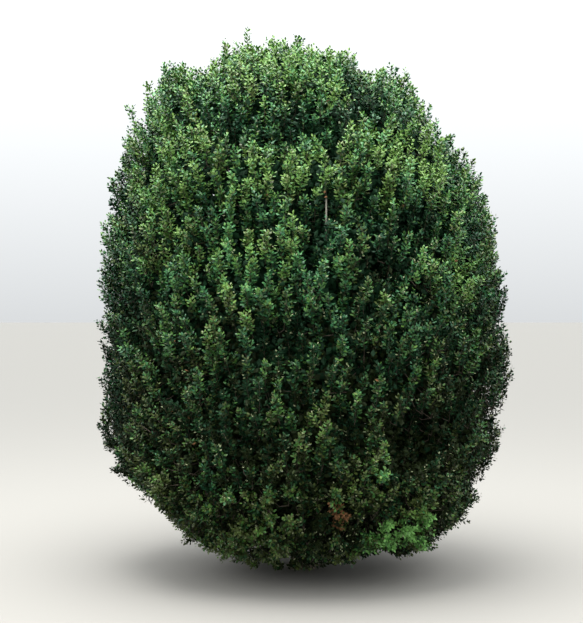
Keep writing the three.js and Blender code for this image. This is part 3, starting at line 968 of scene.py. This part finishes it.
# %% [markdown]
# The leaf blade is leathery, dark green and slightly glossy, and its colours differ from leaf
# to leaf more than across one blade. So each kind is one plain colour with the gloss of a
# waxy leaf, and the pattern comes from thousands of blades that face different ways, and from
# the kinds dealt out above, which carry painted light and shade. Bark is another matter: it is
# one large piece, and its colour and relief change over its surface.

# %% Colours and materials
# colour, roughness and index of refraction of each kind of leaf
LEAF_FINISHES = {
    # old and old_olive are old leaves darkened further as painted shade for the inside of the crown
    "old": ("#12301a", 0.60, 1.24),
    "old_olive": ("#1f2a10", 0.60, 1.24),
    "dark": ("#214724", 0.42, 1.32),
    "dark_cool": ("#1c462d", 0.42, 1.32),
    "mature": ("#3e6935", 0.30, 1.40),
    "cool": ("#32653f", 0.30, 1.40),
    "warm": ("#466a2e", 0.32, 1.40),
    "olive": ("#4a5729", 0.34, 1.42),
    "light": ("#568641", 0.33, 1.42),
    "light_cool": ("#4b864e", 0.33, 1.42),
    "light_warm": ("#60873b", 0.33, 1.42),
    "light_olive": ("#687a41", 0.34, 1.42),
    "fresh": ("#64924a", 0.37, 1.40),
    "fresh_cool": ("#5e955a", 0.37, 1.40),
    "fresh_warm": ("#719647", 0.37, 1.40),
    "young": ("#50873c", 0.34, 1.40),
    "new": ("#7ab25b", 0.36, 1.42),
    "pale": ("#a3ab80", 0.45, 1.42),
}
DRY_LEAF_IOR = 1.42
WOOD_IOR = 1.50
# a young shoot is still green and smooth, a twig is grey-brown and dull, the bark of an old
# stem is smooth and pale grey, and a dead leaf hangs on for months, dry and matt
OTHER_FINISHES = {
    "young_green_shoot": ("#4c5a2e", 0.55, WOOD_IOR),
    "grey_brown_twig_bark": ("#5f5347", 0.85, WOOD_IOR),
    "pale_grey_stem_bark": ("#7b786b", 0.75, WOOD_IOR),
    "dry_rust_brown_leaf": ("#74502f", 0.80, DRY_LEAF_IOR),
}


def linear(hex_colour, alpha=1.0):
    """An sRGB hex colour as the linear values that Blender's sockets take."""
    parts = [int(hex_colour[start:start + 2], 16) / 255 for start in (1, 3, 5)]
    parts = [part / 12.92 if part <= 0.04045 else ((part + 0.055) / 1.055) ** 2.4 for part in parts]
    return (*parts, alpha)


def add_node(tree, kind, links=None, settings=None, **properties):
    """A node in a tree, with its own properties, its sockets' settings and the links into it."""
    node = tree.nodes.new(kind)
    for name, value in properties.items():
        setattr(node, name, value)
    for name, value in (settings or {}).items():
        node.inputs[name].default_value = value
    for name, source in (links or {}).items():
        tree.links.new(source, node.inputs[name])
    return node


def new_material(name):
    """An empty node material with its output, and that output's surface socket."""
    material = bpy.data.materials.new(name)
    material.use_nodes = True
    material.node_tree.nodes.clear()
    output = add_node(material.node_tree, "ShaderNodeOutputMaterial")
    return material, material.node_tree, output.inputs["Surface"]


def plain_finish(name, colour, roughness, ior):
    """A finish of one colour: the surface's gloss does the rest."""
    material, tree, surface = new_material(name)
    shader = add_node(tree, "ShaderNodeBsdfPrincipled", settings={
        "Base Color": linear(colour), "Roughness": roughness, "IOR": ior})
    tree.links.new(shader.outputs["BSDF"], surface)
    material.diffuse_color = linear(colour)
    return material


leaf_materials = [plain_finish(f"waxy_leaf_{kind}", *LEAF_FINISHES[kind]) for kind in LEAF_KINDS]
young_shoot, twig_bark, stem_bark, dead_leaf = [
    plain_finish(name, *finish) for name, finish in OTHER_FINISHES.items()]
print("leaf materials:", len(leaf_materials))

# %% [markdown]
# One leaf is a shape that is repeated three hundred thousand times, so it has only three faces:
# a narrow foot, two wide shoulders and a blunt tip, with both sides folded down a little. Leaves
# of the old kinds, deep in the crown and in the shade, have two. A Geometry Nodes tree sets a
# copy on every point, turned by the point's own heading and face. It ends with real meshes,
# because instances are lost when the model is exported.

# %% The leaf blades and the tree that sets the leaves out
LEAF_SEED = 5
WIDTH_CHANGE = {"Min": 0.88, "Max": 1.14}
BLADE = [
    (0.00, 0.00, 0.00),
    (0.47, 0.50, -0.18),
    (0.96, 0.20, -0.10),
    (0.96, -0.20, -0.10),
    (0.47, -0.50, -0.18),
]
BLADE_FACES = [(0, 2, 1), (0, 3, 2), (0, 4, 3)]
OLD_BLADE = [(0.00, 0.00, 0.00), (0.52, 0.52, -0.15), (1.00, 0.00, -0.05), (0.52, -0.52, -0.15)]
OLD_BLADE_FACES = [(0, 2, 1), (0, 3, 2)]


def blade_object(name, points, faces):
    """One leaf blade of a length and a width of one, its upper face turned up."""
    mesh = bpy.data.meshes.new(name)
    mesh.from_pydata(points, [], [face[::-1] for face in faces])
    mesh.materials.append(leaf_materials[0])
    item = bpy.data.objects.new(name, mesh)
    bpy.context.scene.collection.objects.link(item)
    return item


blade = blade_object("leaf_blade", BLADE, BLADE_FACES)
old_blade = blade_object("old_leaf_blade", OLD_BLADE, OLD_BLADE_FACES)


def new_tree(name, inputs):
    """An empty Geometry Nodes tree with named inputs, its input node and its output node."""
    tree = bpy.data.node_groups.new(name, "GeometryNodeTree")
    tree.interface.new_socket("Geometry", in_out="INPUT", socket_type="NodeSocketGeometry")
    for label, kind in inputs.items():
        tree.interface.new_socket(label, in_out="INPUT", socket_type=kind)
    tree.interface.new_socket("Geometry", in_out="OUTPUT", socket_type="NodeSocketGeometry")
    return tree, add_node(tree, "NodeGroupInput"), add_node(tree, "NodeGroupOutput")


def stored(tree, name, kind):
    """The output of a value that is stored on the points."""
    node = add_node(tree, "GeometryNodeInputNamedAttribute", settings={"Name": name}, data_type=kind)
    return node.outputs[0]


leaf_tree, given, result = new_tree("set_out_leaves", {
    "Leaf": "NodeSocketObject", "Old leaf": "NodeSocketObject", "Leaf length": "NodeSocketFloat",
    "Leaf width": "NodeSocketFloat", "Seed": "NodeSocketInt"})
turned = add_node(leaf_tree, "FunctionNodeAxesToRotation", {
    "Primary Axis": stored(leaf_tree, "leaf_heading", "FLOAT_VECTOR"),
    "Secondary Axis": stored(leaf_tree, "leaf_face", "FLOAT_VECTOR")}, primary_axis="X", secondary_axis="Z")
width_change = add_node(leaf_tree, "FunctionNodeRandomValue", {"Seed": given.outputs["Seed"]}, WIDTH_CHANGE)
width = add_node(leaf_tree, "ShaderNodeMath", {0: given.outputs["Leaf width"], 1: width_change.outputs[1]},
                 operation="MULTIPLY")
full_size = add_node(leaf_tree, "ShaderNodeCombineXYZ", {
    "X": given.outputs["Leaf length"], "Y": width.outputs[0], "Z": given.outputs["Leaf width"]})
sized = add_node(leaf_tree, "ShaderNodeVectorMath", {
    0: full_size.outputs[0], "Scale": stored(leaf_tree, "leaf_size", "FLOAT")}, operation="SCALE")
kind_stored = stored(leaf_tree, "leaf_kind", "INT")
both = add_node(leaf_tree, "GeometryNodeJoinGeometry")
for label, operation in (("Leaf", "GREATER_THAN"), ("Old leaf", "LESS_THAN")):
    chosen = add_node(leaf_tree, "ShaderNodeMath", {0: kind_stored}, {1: OLD_KINDS - 0.5},
                      operation=operation)
    shape = add_node(leaf_tree, "GeometryNodeObjectInfo", {"Object": given.outputs[label]})
    set_out = add_node(leaf_tree, "GeometryNodeInstanceOnPoints", {
        "Points": given.outputs["Geometry"], "Selection": chosen.outputs[0],
        "Instance": shape.outputs["Geometry"], "Rotation": turned.outputs[0], "Scale": sized.outputs[0]})
    leaf_tree.links.new(set_out.outputs[0], both.inputs[0])
grown = add_node(leaf_tree, "GeometryNodeRealizeInstances", {"Geometry": both.outputs[0]}).outputs[0]
for number, material in enumerate([*leaf_materials, dead_leaf]):
    is_kind = add_node(leaf_tree, "FunctionNodeCompare", data_type="INT", operation="EQUAL")
    leaf_tree.links.new(kind_stored, is_kind.inputs[2])
    is_kind.inputs[3].default_value = number
    grown = add_node(leaf_tree, "GeometryNodeSetMaterial", {
        "Geometry": grown, "Selection": is_kind.outputs[0]}, {"Material": material}).outputs[0]
leaf_tree.links.new(grown, result.inputs["Geometry"])
print("leaf tree nodes:", len(leaf_tree.nodes))

# %% [markdown]
# The next helpers turn arrays into points that carry values, run a tree on them, and keep the
# plain mesh that comes out. The values are only needed while the tree runs, so they are taken
# off the finished mesh.

# %% Points in, mesh out
VALUE_KINDS = {"float": ("FLOAT", "value"), "int": ("INT", "value"), "vector": ("FLOAT_VECTOR", "vector")}


def points_with(name, places, edges, values):
    """An object of loose points or lines with a value of each kind stored on its points."""
    mesh = bpy.data.meshes.new(name)
    mesh.from_pydata(places.tolist(), edges, [])
    for label, (kind, numbers) in values.items():
        data_type, field = VALUE_KINDS[kind]
        layer = mesh.attributes.new(label, data_type, "POINT")
        number_type = np.int32 if kind == "int" else np.float32
        layer.data.foreach_set(field, np.ascontiguousarray(numbers, dtype=number_type).ravel())
    item = bpy.data.objects.new(name, mesh)
    bpy.context.scene.collection.objects.link(item)
    return item


def grow(item, tree, settings):
    """Runs a tree on an object and swaps its mesh for the plain one that the tree makes."""
    modifier = item.modifiers.new(tree.name, "NODES")
    modifier.node_group = tree
    for socket in tree.interface.items_tree:
        if socket.item_type == "SOCKET" and socket.in_out == "INPUT" and socket.name in settings:
            modifier[socket.identifier] = settings[socket.name]
    evaluated = item.evaluated_get(bpy.context.evaluated_depsgraph_get())
    mesh = bpy.data.meshes.new_from_object(evaluated)
    item.modifiers.remove(modifier)
    points = item.data
    item.data = mesh
    bpy.data.meshes.remove(points)
    for label in [layer.name for layer in mesh.attributes if not layer.is_internal and not layer.is_required]:
        if label not in ("material_index", "sharp_face"):
            mesh.attributes.remove(mesh.attributes[label])
    return item


def triangle_count(item):
    """How many triangles a piece has."""
    return sum(len(face.vertices) - 2 for face in item.data.polygons)


print("ready to grow")

# %% Grow the leaves of each mass
def leaves_piece(name, here, seed):
    """One piece of leaves: a copy of the blade on each of the chosen points."""
    piece = points_with(name, all_place[here], [], {
        "leaf_heading": ("vector", all_heading[here]), "leaf_face": ("vector", all_face[here]),
        "leaf_size": ("float", all_size[here]), "leaf_kind": ("int", all_kind[here])})
    return grow(piece, leaf_tree, {
        "Leaf": blade, "Old leaf": old_blade,
        "Leaf length": LEAF_LENGTH, "Leaf width": LEAF_WIDTH, "Seed": seed})


leaf_pieces = []
for number, mass in enumerate(masses):
    here = (all_mass == number) & (all_kind != DEAD)
    leaf_pieces.append(leaves_piece(f"leaves_{mass['name']}", here, LEAF_SEED + number))
dead_leaves = leaves_piece("dead_leaves", all_kind == DEAD, LEAF_SEED)
bpy.data.objects.remove(blade)
bpy.data.objects.remove(old_blade)
counts = [len(piece.data.polygons) for piece in leaf_pieces]
print("leaf faces:", sum(counts), "largest piece:", max(counts))

# %% [markdown]
# Twigs and shoots repeat along lines, so a second tree draws them: a line becomes a curve, and
# a small ring is swept along it, as thick as the value stored on each point. Young shoots are
# thin and green, and what is thicker than a matchstick has turned to bark.

# %% The tree that draws twigs
MERGE_DISTANCE = 0.00025
twig_tree, given, result = new_tree("draw_twigs", {
    "Sides": "NodeSocketInt", "Green below": "NodeSocketFloat", "Pale above": "NodeSocketFloat"})
as_curve = add_node(twig_tree, "GeometryNodeMeshToCurve", {"Mesh": given.outputs["Geometry"]})
ring = add_node(twig_tree, "GeometryNodeCurvePrimitiveCircle", {"Resolution": given.outputs["Sides"]},
                {"Radius": 1.0})
drawn = add_node(twig_tree, "GeometryNodeCurveToMesh", {
    "Curve": as_curve.outputs[0], "Profile Curve": ring.outputs[0],
    "Scale": stored(twig_tree, "twig_radius", "FLOAT")}, {"Fill Caps": True})
whole = add_node(twig_tree, "GeometryNodeRealizeInstances", {"Geometry": drawn.outputs[0]})
pointed = add_node(twig_tree, "GeometryNodeMergeByDistance", {"Geometry": whole.outputs[0]},
                   {"Distance": MERGE_DISTANCE})
rounded = add_node(twig_tree, "GeometryNodeSetShadeSmooth", {"Geometry": pointed.outputs[0]})
barked = add_node(twig_tree, "GeometryNodeSetMaterial", {"Geometry": rounded.outputs[0]},
                  {"Material": twig_bark})
girth = stored(twig_tree, "twig_radius", "FLOAT")
painted = barked.outputs[0]
for label, operation, material in (
        ("Green below", "LESS_THAN", young_shoot), ("Pale above", "GREATER_THAN", stem_bark)):
    is_kind = add_node(twig_tree, "FunctionNodeCompare", data_type="FLOAT", operation=operation)
    twig_tree.links.new(girth, is_kind.inputs[0])
    twig_tree.links.new(given.outputs[label], is_kind.inputs[1])
    painted = add_node(twig_tree, "GeometryNodeSetMaterial", {
        "Geometry": painted, "Selection": is_kind.outputs[0]}, {"Material": material}).outputs[0]
twig_tree.links.new(painted, result.inputs["Geometry"])
print("twig tree nodes:", len(twig_tree.nodes))

# %% [markdown]
# Each mass gets its stem, its main twigs, one curved twig to each spray and a straight line to
# each shoot. A line is a row of points with a radius, and rows are collected mass by mass. A
# stem and a spray's twig start a little before their own foot, so that no joint gapes.

# %% Grow the twigs of each mass
TWIG_SIDES = 3
GREEN_BELOW = 0.0010
PALE_ABOVE = 0.0046
STEM_STEPS = 4
MAIN_STEPS = 3
ENTRY_STEPS = 3
SPRAY_STEPS = 3
STEM_FROM = -0.06
SPRAY_FROM = -0.03
STEM_END_RADIUS = 0.0060
MAIN_RADII = (0.0048, 0.0028)
ENTRY_RADII = (0.0027, 0.0018)
LEADER_GIRTH = 2.6
SPRAY_RADII = (0.0018, 0.0009)
SHOOT_RADII = (0.0009, 0.0001)


def lines_of(rows, radii):
    """Points, edges and radii of many rows of points, all with the same number of points."""
    rows = np.asarray(rows)
    number, steps, _ = rows.shape
    first = (np.arange(number) * steps)[:, None] + np.arange(steps - 1)
    edges = np.stack([first, first + 1], axis=-1).reshape(-1, 2)
    return rows.reshape(-1, 3), edges, np.broadcast_to(radii, (number, steps)).reshape(-1)


def gather(groups):
    """Several sets of lines as one."""
    offset = 0
    all_edges = []
    for places, edges, _ in groups:
        all_edges.append(edges + offset)
        offset += len(places)
    return (np.concatenate([group[0] for group in groups]), np.concatenate(all_edges),
            np.concatenate([group[2] for group in groups]))


twig_pieces = []
for number, mass in enumerate(masses):
    groups = []
    to_centre = mass["centre"] - mass["stem_start"]
    share = np.linspace(STEM_FROM, 1, STEM_STEPS)[:, None]
    groups.append(lines_of([mass["stem_start"] + to_centre * share],
                           np.linspace(mass["stem_radius"], STEM_END_RADIUS, STEM_STEPS)))
    mine = tip_mass == number
    used = np.unique(spray_twig[mine])
    reach = np.array([branch_distance[mine & (spray_twig == twig)].max() for twig in used])
    share = np.linspace(0, 1, MAIN_STEPS)[None, :, None]
    main = mass["centre"] + twig_headings[number, used][:, None] * reach[:, None, None] * share
    groups.append(lines_of(main, np.linspace(*MAIN_RADII, MAIN_STEPS)))
    share = np.broadcast_to(np.linspace(0, 1, ENTRY_STEPS), (mine.sum(), ENTRY_STEPS))
    rows = curve_points(start[mine][:, None], entry[mine][:, None], foot[mine][:, None], share)
    girth = np.where(np.flatnonzero(mine) == leader, LEADER_GIRTH, 1)[:, None]
    groups.append(lines_of(rows, np.linspace(*ENTRY_RADII, ENTRY_STEPS) * girth))
    share = np.broadcast_to(np.linspace(SPRAY_FROM, 1, SPRAY_STEPS), (mine.sum(), SPRAY_STEPS))
    rows = curve_points(foot[mine][:, None], bend[mine][:, None], tip[mine][:, None], share)
    groups.append(lines_of(rows, np.linspace(*SPRAY_RADII, SPRAY_STEPS)))
    shoots = mine[shoot_spray]
    ends = shoot_root[shoots] + shoot_heading[shoots] * shoot_length[shoots][:, None]
    groups.append(lines_of(np.stack([shoot_root[shoots], ends], axis=1), np.array(SHOOT_RADII)))
    places, edges, radii = gather(groups)
    values = {"twig_radius": ("float", radii)}
    piece = points_with(f"twigs_{mass['name']}", places, edges.tolist(), values)
    twig_pieces.append(grow(piece, twig_tree, {
        "Sides": TWIG_SIDES, "Green below": GREEN_BELOW, "Pale above": PALE_ABOVE}))
print("twig triangles:", sum(triangle_count(piece) for piece in twig_pieces))

# %% [markdown]
# The trunk and the boughs are seen only where the foliage parts, but they carry everything. The
# bark is smooth grey-brown with shallow furrows. Each limb is a tube of fine rings whose points
# are moved in and out by smooth noise, stretched along the limb. The trunk's foot flares into
# a few root swellings and ends in a flat cut at the ground.

# %% Trunk and boughs
TRUNK_SIDES = 44
TRUNK_RINGS = 150
BOUGH_SIDES = 14
BOUGH_RINGS = 22
FURROW_DEPTH = 0.055
FURROW_SIZE = 0.016
FURROW_STRETCH = 5.0
FINE_FURROW_SHARE = 0.3
FINE_FURROW_SCALE = 2.3
# limbs thinner than this have shallower furrows
FULL_FURROW_RADIUS = 0.006
# above 1, rings stand closer at the foot
RING_POWER = 1.35
ROOT_SWELLS = 5
ROOT_SWELL_DEPTH = 0.16
ROOT_SWELL_HEIGHT = 0.07
COLLAR_SHARE = 0.45
COLLAR_LENGTH = 0.035


def furrows(point):
    """How far the bark stands out at a point, from -1 to 1."""
    stretched = Vector((point[0], point[1], point[2] / FURROW_STRETCH)) / FURROW_SIZE
    fine = noise.noise(stretched * FINE_FURROW_SCALE)
    return (1 - FINE_FURROW_SHARE) * noise.noise(stretched) + FINE_FURROW_SHARE * fine


def tube(rings):
    """Points and faces of a closed tube through rings of points, its ends filled by a fan."""
    steps, sides, _ = rings.shape
    ends = rings[[0, -1]].mean(axis=1)
    points = np.concatenate([rings.reshape(-1, 3), ends])
    faces = []
    for step in range(steps - 1):
        for side in range(sides):
            after = (side + 1) % sides
            low, high = step * sides, (step + 1) * sides
            faces.append((low + side, low + after, high + after, high + side))
    foot, head, last = steps * sides, steps * sides + 1, (steps - 1) * sides
    for side in range(sides):
        after = (side + 1) % sides
        faces.append((after, side, foot))
        faces.append((last + side, last + after, head))
    return points, faces


def with_bark(rings, centres, radii):
    """Each ring's points moved in and out by the bark's furrows."""
    for step, centre in enumerate(centres):
        depth = min(1.0, radii[step] / FULL_FURROW_RADIUS)
        for side, point in enumerate(rings[step]):
            stand = 1 + FURROW_DEPTH * furrows(point) * depth
            rings[step, side] = centre + (point - centre) * stand
    return rings


turn = np.arange(TRUNK_SIDES) * 2 * math.pi / TRUNK_SIDES
heights = TRUNK_TIP[2] * np.linspace(0, 1, TRUNK_RINGS) ** RING_POWER
centres = curve_points(np.zeros(3), TRUNK_BEND, TRUNK_TIP, heights / TRUNK_TIP[2])
fading = np.exp(-heights / ROOT_SWELL_HEIGHT)[:, None]
swell = 1 + ROOT_SWELL_DEPTH * np.sin(ROOT_SWELLS * turn)[None] * fading
radii = trunk_radius(heights)
spokes = np.stack([np.cos(turn), np.sin(turn), 0 * turn], axis=1)
rings = centres[:, None] + spokes[None] * (radii[:, None] * swell)[..., None]
limb_parts = [tube(with_bark(rings, centres, radii))]
for mass in masses:
    if "bough" in mass:
        root, middle, end, root_radius = mass["bough"]
        share = np.linspace(0, 1, BOUGH_RINGS)
        centres = curve_points(root, middle, end, share)
        direction = curve_headings(root, middle, end, share)
        side = unit(np.cross(direction, UP))
        lift = np.cross(side, direction)
        run = np.concatenate([[0], np.cumsum(np.linalg.norm(np.diff(centres, axis=0), axis=1))])
        clear = np.maximum(run - trunk_radius(root[2]), 0)
        collar = COLLAR_SHARE * np.exp(-clear / COLLAR_LENGTH)
        radii = root_radius * (blend(1, BOUGH_TIP_SHARE, share) + collar)
        turn = np.arange(BOUGH_SIDES) * 2 * math.pi / BOUGH_SIDES
        rings = (centres[:, None] + side[:, None] * (np.cos(turn) * radii[:, None])[..., None]
                 - lift[:, None] * (np.sin(turn) * radii[:, None])[..., None])
        limb_parts.append(tube(with_bark(rings, centres, radii)))
offset = 0
limb_points = []
limb_faces = []
for points, faces in limb_parts:
    limb_points += points.tolist()
    limb_faces += [tuple(corner + offset for corner in face) for face in faces]
    offset += len(points)
limb_mesh = bpy.data.meshes.new("limbs")
limb_mesh.from_pydata(limb_points, [], limb_faces)
limb_mesh.shade_smooth()
limbs = bpy.data.objects.new("limbs", limb_mesh)
bpy.context.scene.collection.objects.link(limbs)
print("limb triangles:", triangle_count(limbs))

# %% [markdown]
# Bark of a grown holly stem: grey-brown and matt, smooth to the hand, with shallow lengthwise
# furrows a centimetre or so apart and small paler warts, the lenticels, a few millimetres
# across. The pattern is drawn on Object coordinates, stretched along the trunk.

# %% Bark
FURROW_SCALE = 1 / 0.012
FURROW_LOOK = {"Scale": FURROW_SCALE, "Detail": 4.0, "Roughness": 0.6}
FURROW_STRETCHING = (1.0, 1.0, 0.22)
LENTICEL_SCALE = 1 / 0.009
LENTICEL_EDGE = {"From Min": 0.10, "From Max": 0.26, "To Min": 1.0, "To Max": 0.0}
LENTICEL_COLOUR = "#94897a"
# each bark colour, and where it stands in the furrows' noise
BARK_COLOURS = [("#453b32", 0.34), ("#7b6e60", 0.66)]
BARK_RELIEF = {"Strength": 0.5, "Distance": 0.002}
BARK_GLOSS = {"Roughness": 0.86, "IOR": WOOD_IOR}
bark, tree, surface = new_material("smooth_grey_brown_bark")
place = add_node(tree, "ShaderNodeTexCoord").outputs["Object"]
stretch = add_node(tree, "ShaderNodeMapping", {"Vector": place}, {"Scale": FURROW_STRETCHING}).outputs[0]
furrow = add_node(tree, "ShaderNodeTexNoise", {"Vector": stretch}, FURROW_LOOK)
wart = add_node(tree, "ShaderNodeTexVoronoi", {"Vector": place}, {"Scale": LENTICEL_SCALE})
wart_shape = add_node(tree, "ShaderNodeMapRange", {"Value": wart.outputs["Distance"]}, LENTICEL_EDGE)
shade = add_node(tree, "ShaderNodeValToRGB", {"Fac": furrow.outputs["Fac"]})
for stop, (stop_colour, position) in zip(shade.color_ramp.elements, BARK_COLOURS):
    stop.position = position
    stop.color = linear(stop_colour)
colour = add_node(tree, "ShaderNodeMix", {"A": shade.outputs["Color"], "Factor": wart_shape.outputs[0]},
                  data_type="RGBA")
colour.inputs["B"].default_value = linear(LENTICEL_COLOUR)
relief = add_node(tree, "ShaderNodeMath", {0: furrow.outputs["Fac"], 1: wart_shape.outputs[0]},
                  operation="ADD")
bump = add_node(tree, "ShaderNodeBump", {"Height": relief.outputs[0]}, BARK_RELIEF)
shader = add_node(tree, "ShaderNodeBsdfPrincipled", {
    "Base Color": colour.outputs["Result"], "Normal": bump.outputs[0]}, BARK_GLOSS)
tree.links.new(shader.outputs["BSDF"], surface)
limbs.data.materials.append(bark)
print("bark nodes:", len(tree.nodes))

# %% [markdown]
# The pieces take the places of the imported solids. The limbs stand for the trunk and all of its
# boughs, and each mass's leaves and twigs together stand for that mass's solid.

# %% Hand the pieces over
bough_nodes = [f"bough_{mass['name']}" for mass in masses if "bough" in mass]
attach(limbs, "root")
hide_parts("trunk", *bough_nodes)
for mass, leaves, twigs in zip(masses, leaf_pieces, twig_pieces):
    for piece in (leaves, twigs):
        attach(piece, "root")
        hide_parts(f"foliage_{mass['name']}")
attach(dead_leaves, "root")
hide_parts(f"foliage_{DEAD_SPRAYS[0][-1]}")
print("pieces:", 2 + len(leaf_pieces) + len(twig_pieces))

# %% [markdown]
# The studio is plain: a pale floor, and soft light that is strongest from above, as under an
# even grey sky. That light, with the light and shade painted into the leaves, makes the dome light
# and the lower half dark.

# %% Floor and light
FLOOR_SIZE = 4000.0
FLOOR_FINISH = ("#9d9a94", 0.9, 1.45)
SKY_COLOUR = "#f2f5f7"
# the sky's strength from the horizon to straight above
SKY_GLOW = {"From Min": 0.0, "From Max": 1.0, "To Min": 0.80, "To Max": 2.9}
# what is left of it below the horizon
SKY_DIMMING = {"From Min": -0.30, "From Max": -0.03, "To Min": 0.175, "To Max": 1.0}
SOFTBOX_SIZE = 5.0
SOFTBOX_WATTS = 460
SOFTBOX_PLACE = (-0.6, -1.2, 6.5)
SOFTBOX_AIM = Vector((0, 0, 1.3))
floor_mesh = bpy.data.meshes.new("floor")
half = FLOOR_SIZE / 2
floor_corners = [(-half, -half, 0), (half, -half, 0), (half, half, 0), (-half, half, 0)]
floor_mesh.from_pydata(floor_corners, [], [(0, 1, 2, 3)])
floor = bpy.data.objects.new("floor", floor_mesh)
bpy.context.scene.collection.objects.link(floor)
floor.visible_diffuse = False
floor.visible_glossy = False
floor_mesh.materials.append(plain_finish("pale_matt_floor", *FLOOR_FINISH))

world = bpy.data.worlds.new("grey_sky")
world.use_nodes = True
bpy.context.scene.world = world
tree = world.node_tree
tree.nodes.clear()
direction = add_node(tree, "ShaderNodeTexCoord").outputs["Generated"]
height = add_node(tree, "ShaderNodeSeparateXYZ", {"Vector": direction}).outputs["Z"]
glow = add_node(tree, "ShaderNodeMapRange", {"Value": height}, SKY_GLOW).outputs[0]
dimmed = add_node(tree, "ShaderNodeMapRange", {"Value": height}, SKY_DIMMING).outputs[0]
strength = add_node(tree, "ShaderNodeMath", {0: glow, 1: dimmed}, operation="MULTIPLY").outputs[0]
sky = add_node(tree, "ShaderNodeBackground", {"Strength": strength}, {"Color": linear(SKY_COLOUR)})
add_node(tree, "ShaderNodeOutputWorld", {"Surface": sky.outputs[0]})

softbox_data = bpy.data.lights.new("softbox", "AREA")
softbox_data.shape = "DISK"
softbox_data.size = SOFTBOX_SIZE
softbox_data.energy = SOFTBOX_WATTS
softbox = bpy.data.objects.new("softbox", softbox_data)
softbox.location = SOFTBOX_PLACE
softbox.rotation_euler = (SOFTBOX_AIM - softbox.location).to_track_quat("-Z", "Y").to_euler()
bpy.context.scene.collection.objects.link(softbox)
print("lights:", softbox.name, world.name)

# %% [markdown]
# The camera stands where the photograph was taken from: some six metres in front, at breast
# height, a little to the left of the trunk and tilted up by half a degree.

# %% Camera
SENSOR = 36.0
IMAGE_HEIGHT = 623
FOCAL_PIXELS = 1235
CAMERA_PLACE = (-0.059, -6.300, 1.250)
CAMERA_TURN = math.radians(90.44)
camera_data = bpy.data.cameras.new("camera")
camera_data.sensor_width = SENSOR
camera_data.lens = SENSOR * FOCAL_PIXELS / IMAGE_HEIGHT
camera = bpy.data.objects.new("camera", camera_data)
camera.location = CAMERA_PLACE
camera.rotation_euler = (CAMERA_TURN, 0, 0)
bpy.context.scene.collection.objects.link(camera)
bpy.context.scene.camera = camera
bpy.context.scene.view_settings.view_transform = "Standard"
print("lens:", round(camera_data.lens, 1), "mm")
